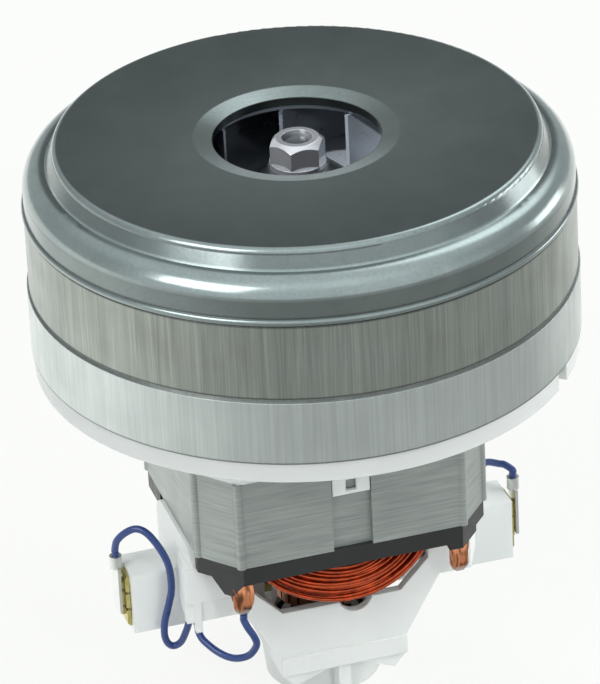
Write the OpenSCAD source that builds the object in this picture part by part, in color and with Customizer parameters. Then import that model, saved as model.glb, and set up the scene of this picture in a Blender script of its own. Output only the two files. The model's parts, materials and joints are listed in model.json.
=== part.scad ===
// Two-stage vacuum motor unit: a pressed-steel fan case on a series-wound brush motor.
// Millimetres. +Z runs up the shaft to the air inlet; the origin is under the shaft, where the unit stands.

/* [Fan case] */
// Outside diameter of the middle case ring
case_d = 144; // [132:1:160]
// Thickness of the pressed steel sheet
sheet_t = 1; // [0.8:0.1:1.2]
// How far the lower ring and the cover's bead stand out past the middle ring
ring_step = 0.5; // [0.3:0.1:1]
// How far the cover's skirt is drawn in from the middle ring
skirt_inset = 0.2; // [0:0.1:0.6]
// Height of the lower case ring
lower_ring_h = 17.6; // [17:0.2:24]
// Height of the middle case ring, from the stage divider to the cover's bead
middle_ring_h = 20.7; // [19:0.1:26]
// Height of the cover, from its bead to the top disc
cover_h = 17.5; // [16:0.5:24]
// Height of the bead round the cover's lower edge
bead_h = 2.1; // [1.6:0.1:3]
// Radius of the cover's rounded shoulder
shoulder_r = 6; // [4:0.5:8]
// Width of the flat ledge between the shoulder and the step
ledge_w = 0.2; // [0.1:0.1:2]
// Height of the step between the top disc and the shoulder
top_step_h = 5.2; // [4:0.2:7]
// How far the step's wall leans out
top_step_run = 1.9; // [1:0.1:2.5]
// Radius of the crease round the top disc
crease_r = 1.6; // [1.4:0.1:3]
// Diameter of the air inlet
inlet_d = 44; // [36:0.5:46]
// Width of the dished lip round the inlet
lip_w = 5; // [3:0.5:8]
// Drop of the dished lip
lip_drop = 1; // [0.6:0.1:2]
// Depth of the inlet's throat below the top disc
throat_h = 3.3; // [2.8:0.1:4]
// Height of the middle ring's neck inside the cover
neck_h = 4; // [3:0.5:6]

/* [Impellers and guides] */
// Outside diameter of both impellers
impeller_d = 120; // [110:1:122]
// Thickness of the impellers' sheet discs
disc_t = 1; // [0.8:0.1:1.2]
// Diameter of the impellers' eyes
eye_d = 48; // [47:0.5:52]
// Height of the collar round each eye
collar_h = 1.5; // [1:0.1:2]
// Height of the first impeller's blades at the rim
first_rim_h = 9; // [7:0.5:11]
// Height of the second impeller's blades at the rim
second_rim_h = 5; // [4:0.5:6]
// Depth of the first impeller's eye below the top disc
first_eye_drop = 5.3; // [5:0.1:7]
// Depth of the second impeller's eye below the stage divider
second_eye_drop = 4.3; // [4:0.1:5]
// Number of blades on each impeller
blade_count = 8; // [6:1:10]
// Thickness of a blade
blade_t = 0.8; // [0.6:0.1:1.2]
// Height of the first guide's return vanes
first_vane_h = 13; // [10:0.5:14]
// Height of the return vanes on the fan-end bracket
second_vane_h = 5.5; // [4:0.5:6]
// Number of return vanes in each stage
vane_count = 10; // [8:1:12]
// Thickness of a return vane
vane_t = 1.5; // [1:0.1:2]
// Thickness of the guide discs
guide_t = 1.2; // [1:0.1:1.6]
// Diameter of the guide discs
guide_d = 124; // [120:1:128]
// Diameter of the spacers between the impellers
spacer_d = 13; // [12:0.5:15]
// Height of the cone-shaped hub above the first impeller's disc
hub_h = 12.7; // [10:0.1:13]
// Diameter of that hub under the washer
hub_top_d = 16; // [15:0.5:17]
// Diameter of that hub at its foot
hub_foot_d = 40; // [36:0.5:42]
// Diameter of the clamp washer under the nut
washer_d = 15; // [14:0.5:16]
// Thickness of the clamp washer
washer_t = 1.5; // [1:0.1:2]
// Width of the nut across its flats
nut_af = 13; // [12:0.5:14]
// Height of the nut
nut_h = 6.5; // [5:0.5:7]

/* [Fan-end bracket] */
// Height of the flange's rim
flange_h = 5.5; // [5:0.5:7]
// Thickness of the flange's floor
floor_t = 3; // [2.5:0.5:4]
// Height of the skirt from the stator to the flange
skirt_h = 18; // [17:0.5:22]
// Thickness of the skirt's wall
skirt_t = 2.5; // [2:0.1:3]
// Width of the clip tongue on the front and back
tongue_w = 10.2; // [8:0.2:14]
// Length of the clip tongue below the skirt
tongue_h = 9; // [7:0.5:14]
// Width of the notch in the flange's edge
notch_w = 5.6; // [4:0.2:8]
// Direction of the notch, in degrees from +X
notch_turn = -40; // [-60:1:-20]

/* [Shaft and bearings] */
// Diameter of the shaft at the bearings and fan
shaft_d = 8; // [7:0.5:9]
// Diameter of the shaft through the armature
core_shaft_d = 10; // [9.5:0.5:11]
// Outside diameter of both bearings
bearing_d = 22; // [21:0.5:24]
// Width of both bearings
bearing_w = 7; // [6:0.5:8]
// Diameter of a bearing's balls
ball_d = 4; // [3.4:0.1:4]
// Number of balls in a bearing
ball_count = 7; // [6:1:8]

/* [Stator and field coils] */
// Width of the stator along the brush axis
stator_x = 80; // [78:1:90]
// Depth of the stator, front to back
stator_y = 70; // [70:1:80]
// Corner chamfer along the width
chamfer_x = 9.5; // [8:0.5:11]
// Corner chamfer along the depth
chamfer_y = 11; // [9:0.5:13]
// Height of the lamination stack
stack_h = 25.5; // [22:0.5:34]
// Diameter of the stator's bore
bore_d = 45; // [44:0.5:46]
// Thickness of the pole shoes
shoe_t = 4; // [3.5:0.1:4.2]
// Half width of a pole's body
pole_half = 13; // [11:0.5:13]
// Half width of the coil window
window_x = 31; // [29:0.5:32]
// Half depth of the coil window
window_y = 26.6; // [26.6:0.1:28]
// Width of the channel down the front and back faces
channel_w = 10.8; // [9:0.2:15]
// Depth of that channel
channel_t = 1.6; // [1.4:0.1:2]
// Radius of the bead down each edge of the corner chamfers
corner_bead_r = 1.3; // [0.8:0.1:1.8]
// Height of the insulating frames
insulator_h = 5.3; // [4:0.1:6]
// Diameter of the field coils' wire as drawn
wire_d = 0.8; // [0.6:0.05:0.8]
// Loops in each layer of a field coil
layer_loops = 6; // [4:1:6]
// Half width of a coil's innermost loop
coil_half = 14.5; // [14.5:0.1:15]
// Rise of the innermost loop's end turn
coil_end = 3.6; // [3.6:0.1:4]

/* [Armature and commutator] */
// Gap between the armature and the stator's bore
air_gap = 0.6; // [0.4:0.1:1]
// Number of armature slots
slot_count = 12; // [10:1:14]
// Radius of a slot's round bottom
slot_r = 2.6; // [2.2:0.1:2.8]
// Rise of the armature's end windings
end_winding_h = 9; // [7:0.5:9]
// Diameter of the commutator
commutator_d = 24; // [22:0.5:26]
// Length of the commutator's bars
commutator_h = 19; // [17:0.5:20]
// Number of commutator bars
bar_count = 24; // [20:2:28]

/* [Brush gear] */
// Width of a brush round the commutator
brush_w = 6; // [5:0.5:7]
// Height of a brush along the commutator
brush_h = 9; // [8:0.5:10]
// Length of a brush
brush_l = 20; // [16:0.5:22]
// Thickness of the brass brush holder
holder_t = 0.8; // [0.6:0.1:1]
// Distance from the shaft to a brush box's outer end
box_end = 53.5; // [50:0.5:58]
// Width of a brush box
box_w = 12; // [11.5:0.5:14]
// Height of a brush box
box_h = 17.7; // [15:0.1:20]
// Wire diameter of the brush springs
spring_wire = 0.6; // [0.5:0.05:0.7]
// Number of curls in a brush spring
spring_curls = 7; // [5:1:8]

/* [Commutator-end bracket] */
// Height of the bracket from where the unit stands to the insulating frame
bracket_h = 51.2; // [50:0.1:58]
// Thickness of the bracket's walls
wall_t = 2.5; // [2:0.1:3]
// Distance between the outer faces of the front and back walls
bracket_y = 42.5; // [42.5:0.5:46]
// Distance from the shaft to the end walls' outer faces
bracket_x = 41; // [40.5:0.5:44]
// How far an end wall stands out more at its lead corner
flare = 1.8; // [1:0.1:2.5]
// Distance from the brush axis to an end wall's edge at the other corner
end_reach = 11.4; // [9:0.1:14]
// Distance from the shaft to the corner where the slanted wall to that edge starts
corner_x = 36.5; // [35:0.5:38]
// Depth of the brush axis below the insulating frame
brush_drop = 17.5; // [16:0.05:18]
// Depth of the wings
wing_drop = 16.9; // [15:0.1:18]
// Half width of the apron under the wings
apron_half = 27.6; // [26:0.1:32]
// Depth of the apron's sloping sides
apron_drop = 33.8; // [30:0.1:35]
// Half width of the apron's foot
apron_foot = 17.6; // [15:0.1:20]
// Half width of the window in the front and back walls
window_top = 24.6; // [23:0.1:25.5]
// Half width of that window's lower edge
window_foot = 16.5; // [14:0.1:18]
// Depth of the window's shoulder
window_shoulder = 11.2; // [10:0.1:13]
// Depth of the window's lower edge
window_drop = 19.7; // [17:0.1:22]
// Radius of the end walls' top corners
end_corner_r = 6; // [4:0.5:8]
// Radius of the bearing cup at its top
cup_r = 17.5; // [16.5:0.1:18]
// How far the bearing cup narrows to its foot
cup_taper = 2; // [1:0.1:2.5]

/* [Leads] */
// Diameter of the insulated leads
lead_d = 2; // [1.6:0.1:2.2]

/* [Clearances] */
// Radial or side gap of pieces that are fixed together
fixed_gap = 0.05; // [0.02:0.01:0.1]
// Radial gap of balls and brushes that run
run_gap = 0.1; // [0.06:0.01:0.15]
// Gap between a turning disc and a fixed one
disc_gap = 1; // [0.8:0.1:1.5]

/* [Hidden] */
$fn = 72;
eps = 1;

// Heights up the unit
insulator_z = bracket_h;
stack_z = insulator_z + insulator_h;
stack_top = stack_z + stack_h;
flange_z = stack_top + skirt_h;
second_guide_z = flange_z + floor_t + second_vane_h;
second_disc_z = second_guide_z + guide_t + disc_gap;
lower_ring_z = flange_z + flange_h;
divider_z = lower_ring_z + lower_ring_h;
first_guide_z = divider_z + sheet_t + first_vane_h;
first_disc_z = first_guide_z + guide_t + disc_gap;
bead_z = divider_z + sheet_t + middle_ring_h;
top_z = bead_z + cover_h;
ledge_z = top_z - top_step_h;
hub_z = first_disc_z + disc_t;
washer_z = hub_z + hub_h;
nut_z = washer_z + washer_t;
shaft_recess = 1.5;
shaft_top = nut_z + nut_h - shaft_recess;

// Radii of the fan case
case_r = case_d / 2;
lower_r = case_r + ring_step;
cover_r = case_r - skirt_inset;
neck_r = cover_r - sheet_t - fixed_gap;
shoulder_x = cover_r - shoulder_r;
ledge_r = shoulder_x - ledge_w;
top_r = ledge_r - top_step_run;
inlet_r = inlet_d / 2;
eye_r = eye_d / 2;
impeller_r = impeller_d / 2;
ledge_lip = 3;
divider_rim = 0.3;
throat_lap = 0.5;
first_eye_z = top_z - first_eye_drop;
second_eye_z = divider_z - second_eye_drop;

// Bearings and shaft
shaft_r = shaft_d / 2;
core_r = core_shaft_d / 2;
bearing_r = bearing_d / 2;
ball_r = ball_d / 2;
race_t = 2.2;
pitch_r = (shaft_r + bearing_r) / 2;
upper_seat_drop = 3;
upper_bearing_z = flange_z - upper_seat_drop;
lower_bearing_z = 9;
shaft_foot = 6.5;
boss_t = 3;
boss_r = bearing_r + boss_t;
boss_lip = 2;
cup_ring_t = 1.5;
seat_r = bearing_r + cup_ring_t;
preload_t = 0.6;

// Stator, coils and armature
bore_r = bore_d / 2;
armature_r = bore_r - air_gap;
shoe_reach = 24;
shoe_rise = 16;
bar_t = 3.5;
commutator_r = commutator_d / 2;
brush_z = bracket_h - brush_drop;
commutator_z = brush_z - commutator_h / 2;
insulator_gap = 0.4;
end_wall_gap = 0.3;
coil_y = window_y - 3.3;
layer_step = 1.9;
loop_step_x = 1.9;
loop_step_z = 1.75;
half_rings = 12;
coil_loops = 2 * layer_loops;
coil_bow = 6.3;
coil_inset = 0.6;
frame_inset = 0.3;
terminal_x = 30;
terminal_y = 31.2;
terminal_w = 5;
terminal_t = 0.8;
terminal_h = 13.3;
terminal_foot = insulator_z + insulator_h / 2 - terminal_h;
pocket_x = terminal_x + 1.5;
pocket_w = 10;
pocket_d = 7;
pocket_h = 1.8;
wedge_x = terminal_x + 3.6;
wedge_y = terminal_y - 0.4;
wedge_w = 10;
wedge_tip = 2.6;
wedge_h = 4.4;
wedge_t = 1.6;

// Commutator-end bracket and lead clips
wing_z = bracket_h - wing_drop;
band_h = 4;
band_t = 0.8;
band_z = 12;
band_run = 3.6;
arch_half = 3;
panel_drop = 10.7;
panel_t = 0.6;

// Brush gear
holder_y = brush_w / 2 + run_gap + holder_t;
holder_z = brush_h / 2 + run_gap + holder_t;
holder_start = commutator_r + 2.5;
box_room = 5;
box_start = commutator_r + box_room;
cap_t = 1.2;
cap_plug = box_end - 2.5;
plate_t = 0.8;
knuckle_t = 1.3;
lug_x = box_end + plate_t + knuckle_t;
lug_h = 13.5;
barrel_r = 1.7;
barrel_h = 3;
lug_rise = 9.75;
lug_top = brush_z + lug_rise;

// A vector of length one
function unit(v) = v / norm(v);

// Directions along a path of points
function directions(p) =
    [for (i = [0:len(p) - 1]) unit(p[min(i + 1, len(p) - 1)] - p[max(i - 1, 0)])];

// The part of a vector that is square to a direction
function square_to(v, t) = unit(v - (v * t) * t);

// Side vectors carried along a path without twist
function side_vectors(t, first) =
    [for (i = 0, n = square_to(first, t[0]); i < len(t); i = i + 1,
          n = square_to(n, t[min(i, len(t) - 1)])) n];

// Corner points of a round tube along a path
function tube_points(p, r, sides, first) =
    let (t = directions(p), n = side_vectors(t, first))
    [for (i = [0:len(p) - 1]) let (u = square_to(n[i], t[i]), v = cross(t[i], u))
        for (k = [0:sides - 1]) p[i] + r * (cos(360 * k / sides) * u + sin(360 * k / sides) * v)];

// Triangles of that tube's wall and ends
function tube_faces(rings, sides) = concat(
    [for (i = [0:rings - 2], k = [0:sides - 1]) let (a = i * sides + k, b = i * sides + (k + 1) % sides)
        each [[a, a + sides, b], [b, a + sides, b + sides]]],
    [for (k = [1:sides - 2]) [0, k, k + 1]],
    [for (k = [1:sides - 2]) let (e = (rings - 1) * sides) [e, e + k + 1, e + k]]);

// A tube of one piece along a path
module tube(p, d, sides, first) {
    corners = tube_points(p, d / 2, sides, first);
    polyhedron(points = corners, faces = tube_faces(len(p), sides), convexity = 10);
}

// A smooth curve through hand-chosen points, with a number of steps in each span
function curve(p, steps) = concat(
    [for (i = [0:len(p) - 2], s = [0:steps - 1])
        let (a = p[max(i - 1, 0)], b = p[i], c = p[i + 1], d = p[min(i + 2, len(p) - 1)], u = s / steps)
        0.5 * (2 * b + (c - a) * u + (2 * a - 5 * b + 4 * c - d) * u * u
            + (3 * b - a - 3 * c + d) * u * u * u)],
    [p[len(p) - 1]]);

// A flat ring
module ring(r_out, r_in, h) {
    difference() {
        cylinder(r = r_out, h = h);
        translate([0, 0, -eps]) cylinder(r = r_in, h = h + 2 * eps);
    }
}

// Both of a pair that is turned half round the shaft
module half_turn_pair() {
    children();
    rotate(180) children();
}

// All four corners, mirrored front to back and left to right
module four_corners() {
    for (sx = [0, 1], sy = [0, 1]) mirror([sx, 0, 0]) mirror([0, sy, 0]) children();
}

// A cylinder or cone between two heights
module turned(low, high, r_low, r_high) {
    translate([0, 0, low]) cylinder(r1 = r_low, r2 = r_high, h = high - low);
}

// A round ring of a wire or rounded corner
module torus(ring_r, z, r) {
    translate([0, 0, z]) rotate_extrude() translate([ring_r, 0]) circle(r);
}

// Solid under the cover's skin, drawn in by the sheet for its inner face
module cover_form(inset) {
    crease_x = top_r - crease_r;
    foot = bead_z - (inset > 0 ? eps : 0);
    turned(foot, top_z - inset, crease_x, crease_x);
    torus(crease_x, top_z - crease_r, crease_r - inset);
    turned(ledge_z - inset, top_z - crease_r, ledge_r - inset, top_r - inset);
    turned(foot, ledge_z - inset, shoulder_x, shoulder_x);
    torus(shoulder_x, ledge_z - shoulder_r, shoulder_r - inset);
    turned(foot, ledge_z - shoulder_r, cover_r - inset, cover_r - inset);
}

// Pressed cover with its inlet lip, raised disc, shoulder and beaded edge
module fan_cover() {
    lip_r = inlet_r + lip_w;
    bead_r = bead_h / 2;
    color("slategray") {
        difference() {
            union() {
                cover_form(0);
                torus(lower_r - bead_r, bead_z + bead_r, bead_r);
                turned(bead_z, bead_z + bead_h, lower_r - bead_r, lower_r - bead_r);
            }
            cover_form(sheet_t);
            turned(bead_z, top_z + eps, lip_r, lip_r);
        }
        rotate_extrude() polygon([
            [lip_r, top_z], [lip_r, top_z - sheet_t], [inlet_r + sheet_t, top_z - lip_drop - sheet_t],
            [inlet_r + sheet_t, top_z - throat_h], [inlet_r, top_z - throat_h], [inlet_r, top_z - lip_drop]
        ]);
    }
}

// Middle ring with the neck that the cover is pressed over
module middle_ring() {
    base = divider_z + sheet_t;
    color("darkgray") rotate_extrude() polygon([
        [case_r - sheet_t, base], [case_r, base], [case_r, bead_z], [neck_r, bead_z],
        [neck_r, bead_z + neck_h], [neck_r - sheet_t, bead_z + neck_h],
        [neck_r - sheet_t, bead_z - sheet_t], [case_r - sheet_t, bead_z - sheet_t]
    ]);
}

// Lower ring with the turned-in ledge that carries the stage divider
module lower_ring() {
    color("silver") rotate_extrude() polygon([
        [lower_r - sheet_t, lower_ring_z], [lower_r, lower_ring_z], [lower_r, divider_z],
        [lower_r - sheet_t - ledge_lip, divider_z], [lower_r - sheet_t - ledge_lip, divider_z - sheet_t],
        [lower_r - sheet_t, divider_z - sheet_t]
    ]);
}

// Plate between the stages, with a throat into the second impeller's eye
module stage_divider() {
    throat_z = second_eye_z + disc_t + collar_h - throat_lap;
    color("gray") rotate_extrude() {
        translate([inlet_r, divider_z]) square([case_r - divider_rim - inlet_r, sheet_t]);
        translate([inlet_r, throat_z]) square([sheet_t, divider_z + sheet_t - throat_z]);
    }
}

// Curved strips in plan between two radii, all leaning back one way
module curved_strips(count, r_in, r_out, t) {
    arc_x = r_out * 0.5;
    arc_r = r_out * 0.6;
    for (i = [0:count - 1]) rotate(i * 360 / count) intersection() {
        translate([arc_x, 0]) difference() {
            circle(arc_r + t / 2);
            circle(arc_r - t / 2);
        }
        difference() {
            circle(r_out);
            circle(r_in);
        }
        translate([-r_out, 0]) square([2 * r_out, r_out]);
    }
}

// First-stage guide: a disc under the impeller and the vanes that turn the air back in
module first_guide() {
    spacer_pass = spacer_d / 2 + disc_gap;
    color("whitesmoke") {
        translate([0, 0, first_guide_z]) ring(guide_d / 2, spacer_pass, guide_t);
        translate([0, 0, divider_z + sheet_t]) linear_extrude(first_vane_h)
            curved_strips(vane_count, eye_r + disc_t, case_r - sheet_t - fixed_gap, vane_t);
    }
}

// Disc that covers the vanes on the fan-end bracket
module second_guide_disc() {
    spacer_pass = spacer_d / 2 + disc_gap;
    color("whitesmoke") translate([0, 0, second_guide_z]) ring(guide_d / 2, spacer_pass, guide_t);
}

// The stator's eight-sided outline, drawn in by an inset
module stator_outline(inset = 0) {
    x = stator_x / 2 - inset;
    y = stator_y / 2 - inset;
    polygon([
        [x - chamfer_x, -y], [x, chamfer_y - y], [x, y - chamfer_y], [x - chamfer_x, y],
        [chamfer_x - x, y], [-x, y - chamfer_y], [-x, chamfer_y - y], [chamfer_x - x, -y]
    ]);
}

// Fan-end bracket: flange, bearing boss, air windows, return vanes, skirt and clip tongues
module fan_end_bracket() {
    spigot_r = lower_r - sheet_t - fixed_gap;
    spigot_t = 2;
    spigot_h = 3;
    rim_t = 3.5;
    window_in = boss_r + 2.5;
    window_out = stator_y / 2 - skirt_t - 1.5;
    window_ribs = 8;
    rib_w = 4;
    boss_top = upper_bearing_z + bearing_w + boss_lip;
    boss_foot = upper_bearing_z - 1.5;
    tongue_y = stator_y / 2 - channel_t + 0.3;
    tongue_t = 1.2;
    hole_w = 2.9;
    hole_h = 3.3;
    hole_lift = 1;
    notch_depth = 3;
    color("white") difference() {
        union() {
            translate([0, 0, flange_z]) cylinder(r = case_r, h = floor_t);
            translate([0, 0, flange_z]) ring(case_r, case_r - rim_t, flange_h);
            translate([0, 0, flange_z]) ring(spigot_r, spigot_r - spigot_t, flange_h + spigot_h);
            translate([0, 0, boss_foot]) cylinder(r = boss_r, h = boss_top - boss_foot);
            translate([0, 0, flange_z + floor_t - fixed_gap]) linear_extrude(second_vane_h + fixed_gap)
                curved_strips(vane_count, window_out + 1, impeller_r, vane_t);
            translate([0, 0, stack_top]) linear_extrude(skirt_h + floor_t / 2) difference() {
                stator_outline();
                stator_outline(skirt_t);
            }
            for (side = [0, 1]) mirror([0, side, 0])
                translate([-tongue_w / 2, -tongue_y - tongue_t, stack_top - tongue_h])
                    cube([tongue_w, tongue_t, tongue_h + skirt_h / 2]);
        }
        translate([0, 0, boss_foot - eps])
            cylinder(r = bearing_r + fixed_gap, h = upper_bearing_z + bearing_w - boss_foot + eps);
        translate([0, 0, flange_z]) cylinder(r = bearing_r - boss_lip, h = skirt_h);
        translate([0, 0, flange_z - eps]) linear_extrude(floor_t + 2 * eps) difference() {
            circle(window_out);
            circle(window_in);
            for (i = [0:window_ribs - 1]) rotate((i + 0.5) * 360 / window_ribs)
                translate([0, -rib_w / 2]) square([case_r, rib_w]);
        }
        rotate(notch_turn) translate([case_r - notch_depth, -notch_w / 2, flange_z - eps])
            cube([notch_depth + eps, notch_w, flange_h + 2 * eps]);
        for (side = [0, 1]) mirror([0, side, 0])
            translate([-hole_w / 2, -stator_y / 2 - eps, stack_top - tongue_h + hole_lift])
                cube([hole_w, channel_t + 2 * eps, hole_h]);
    }
}

// Plan of the space between the poles, with the bore and the four coil windows
module pole_space(lining = 0) {
    difference() {
        square([2 * (window_x - lining), 2 * (window_y - lining)], center = true);
        for (side = [0, 1]) mirror([0, side]) {
            translate([-pole_half - lining, 0]) square([2 * (pole_half + lining), window_y]);
            intersection() {
                circle(bore_r + shoe_t + lining);
                polygon([[0, 0], [-shoe_reach, shoe_rise], [-shoe_reach, window_y], [shoe_reach, window_y],
                    [shoe_reach, shoe_rise]]);
            }
        }
    }
    circle(bore_r + 2 * lining);
}

// Lamination stack with its two poles, face channels and corner beads
module stator_core() {
    x = stator_x / 2;
    y = stator_y / 2;
    bead_inset = corner_bead_r * 0.6;
    color("darkgray") translate([0, 0, stack_z]) linear_extrude(stack_h) difference() {
        union() {
            stator_outline();
            for (sx = [-1, 1], sy = [-1, 1]) {
                translate([sx * (x - chamfer_x), sy * (y - bead_inset)]) circle(corner_bead_r);
                translate([sx * (x - bead_inset), sy * (y - chamfer_y)]) circle(corner_bead_r);
            }
        }
        pole_space();
        for (sy = [-1, 1]) translate([0, sy * y]) square([channel_w, 2 * channel_t], center = true);
    }
}

// Plan of an insulating frame, cut back where it passes the walls beside it
module insulator_plan(inset, side_room) {
    difference() {
        stator_outline(inset);
        pole_space(insulator_gap);
        half_turn_pair() translate([stator_x / 2 - side_room, -end_reach - end_wall_gap])
            square([2 * side_room, bracket_y / 2 + end_reach + 2 * end_wall_gap]);
    }
}

// Upper insulating frame, inside the skirt
module upper_insulator() {
    color([0.16, 0.17, 0.16]) translate([0, 0, stack_top]) linear_extrude(insulator_h)
        insulator_plan(skirt_t + end_wall_gap, skirt_t + end_wall_gap);
}

// Place of one coil terminal under the front right corner
module at_terminal() {
    translate([terminal_x, -terminal_y, insulator_z]) children();
}

// Wedge on the chamfer round a lead's terminal, drawn at the front left corner
module lead_wedge() {
    translate([-wedge_x, -wedge_y, insulator_z]) rotate(-atan2(chamfer_y, chamfer_x))
        translate([0, wedge_t, 0]) rotate([90, 0, 0]) linear_extrude(wedge_t) polygon(both_sides([
            [wedge_w / 2, insulator_h / 2], [wedge_w / 2, 0], [wedge_tip / 2, -wedge_h]
        ]));
}

// Shallow block round a supply terminal, drawn at the front right corner
module supply_pocket() {
    translate([0, 0, insulator_z - pocket_h]) linear_extrude(pocket_h + insulator_h / 2) intersection() {
        stator_outline(frame_inset);
        translate([pocket_x, -terminal_y]) square([pocket_w, pocket_d], center = true);
    }
}

// Lower insulating frame with a wedge or a block at each corner, slotted for the terminals
module lower_insulator() {
    side_room = stator_x / 2 - bracket_x + wall_t + end_wall_gap;
    slot_t = terminal_t + 2 * fixed_gap;
    slot_w = terminal_w + 2 * fixed_gap;
    color([0.16, 0.17, 0.16]) difference() {
        union() {
            translate([0, 0, insulator_z]) linear_extrude(insulator_h) insulator_plan(frame_inset, side_room);
            half_turn_pair() {
                lead_wedge();
                supply_pocket();
            }
        }
        four_corners() at_terminal() translate([-slot_w / 2, -slot_t / 2, -wedge_h - eps])
            cube([slot_w, slot_t, wedge_h + insulator_h / 2 + eps]);
    }
}

// Round-ended tabs that take the coil ends, one at each corner
module coil_terminals() {
    eye_r = 0.9;
    round_r = terminal_w / 2;
    round_z = terminal_foot - insulator_z + round_r;
    color("peru") four_corners() at_terminal() translate([0, terminal_t / 2, 0]) rotate([90, 0, 0])
        linear_extrude(terminal_t) difference() {
            union() {
                translate([-round_r, round_z]) square([terminal_w, terminal_h - fixed_gap - round_r]);
                translate([0, round_z]) circle(round_r);
            }
            translate([0, round_z]) circle(eye_r);
        }
}

// One point of a field coil: the loop's size, its layer, and its place on the loop's upper and lower half
function coil_point(a, b, j) =
    let (w = coil_half + a * loop_step_x, rise = coil_end + a * loop_step_z, y = coil_y + b * layer_step,
         upper = j < half_rings, turn = 180 * (j % half_rings) / (half_rings - 1),
         base = upper ? stack_top + insulator_h - coil_inset : insulator_z + coil_inset)
    [(upper ? -w : w) * cos(turn), -y - coil_bow * pow(sin(turn), 2),
        base + (upper ? rise : -rise) * sin(turn)];

// How far out the winding has got after a number of loops: out along the first layer, back along the second
function coil_loop(t) =
    t < layer_loops - 1 ? t : t < layer_loops ? layer_loops - 1 : 2 * layer_loops - 1 - t;
function coil_layer(t) = t < layer_loops - 1 ? 0 : t < layer_loops ? t - layer_loops + 1 : 1;

// The winding's path: each loop keeps its size over the top and steps on through the lower end turn
coil_path = [for (k = [0:coil_loops - 1], j = [0:2 * half_rings - 1])
    let (step = j < half_rings ? 0 : (j - half_rings) / (half_rings - 1))
    if (k < coil_loops - 1 || j <= half_rings) coil_point(coil_loop(k + step), coil_layer(k + step), j)];

// The winding starts at the foot of one coil side and ends at the foot of the other, in straight tails
coil_start = coil_point(0, 0, 2 * half_rings - 1);
coil_finish = coil_path[len(coil_path) - 1];
coil_tail = [0, 0, wire_d];
coil_run = concat([coil_start - coil_tail, coil_start], coil_path, [coil_finish - coil_tail]);

// Least gap of a winding to itself, from each point to each span that isn't its neighbour
function span_distance(p, a, b) =
    let (ab = b - a, s = max(0, min(1, (p - a) * ab / max(ab * ab, 0.0001)))) norm(p - a - s * ab);
function least_gap(p, d, skip) = min([for (i = [0:len(p) - skip - 2], j = [i + skip:len(p) - 2])
    span_distance(p[i], p[j], p[j + 1])]) - d;
echo(field_coil_least_gap = least_gap(coil_run, wire_d, 6));

module field_coil() {
    color("orangered") tube(coil_run, wire_d, 6, [0, 1, 0]);
}

module field_coil_front() {
    field_coil();
}

module field_coil_rear() {
    rotate(180) field_coil();
}

// A right-hand outline closed by the mirror image of a second one
function two_sides(p, q) = concat(p, [for (i = [len(q) - 1:-1:0]) [-q[i][0], q[i][1]]]);
function both_sides(p) = two_sides(p, p);

// One side of the front wall's outline, from its top corner down to the foot
function wall_edge(x) = [
    [x, bracket_h], [x, wing_z], [apron_half, wing_z], [apron_foot, bracket_h - apron_drop],
    [apron_foot, band_z], [apron_foot - band_run, band_z - band_h], [arch_half, band_z]
];

// Outline of the bracket's front wall, with its lead corner on the left; the rear wall is its half turn
module bracket_wall_plan() {
    notch_r = 4.7;
    notch_x = 3.9;
    notch_rise = 1.1;
    difference() {
        polygon(two_sides(wall_edge(corner_x), wall_edge(bracket_x + flare)));
        polygon(both_sides([
            [window_top, bracket_h + eps], [window_top, bracket_h - window_shoulder],
            [window_foot, bracket_h - window_drop]
        ]));
        translate([notch_x, bracket_h - window_drop + notch_rise]) circle(notch_r);
    }
}

// Outline of the right end wall, which reaches up to the stator between the insulating frame's arms
module end_wall_plan() {
    half = bracket_y / 2;
    rise = stack_z - wing_z;
    translate([-end_reach, wing_z]) square([half + end_reach, rise - end_corner_r]);
    translate([end_corner_r - end_reach, wing_z]) square([half + end_reach - 2 * end_corner_r, rise]);
    for (y = [end_corner_r - end_reach, half - end_corner_r])
        translate([y, stack_z - end_corner_r]) circle(end_corner_r);
}

// Prong at a lead corner, drawn at the rear right, behind which a lead passes
module lead_prong() {
    prong_in = 2.2;
    prong_w = 1.8;
    prong_d = 2;
    prong_h = 3;
    translate([bracket_x - prong_in, bracket_y / 2 - prong_d + panel_t, wing_z - prong_h])
        cube([prong_w, prong_d, prong_h + wing_drop - panel_drop]);
}

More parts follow.
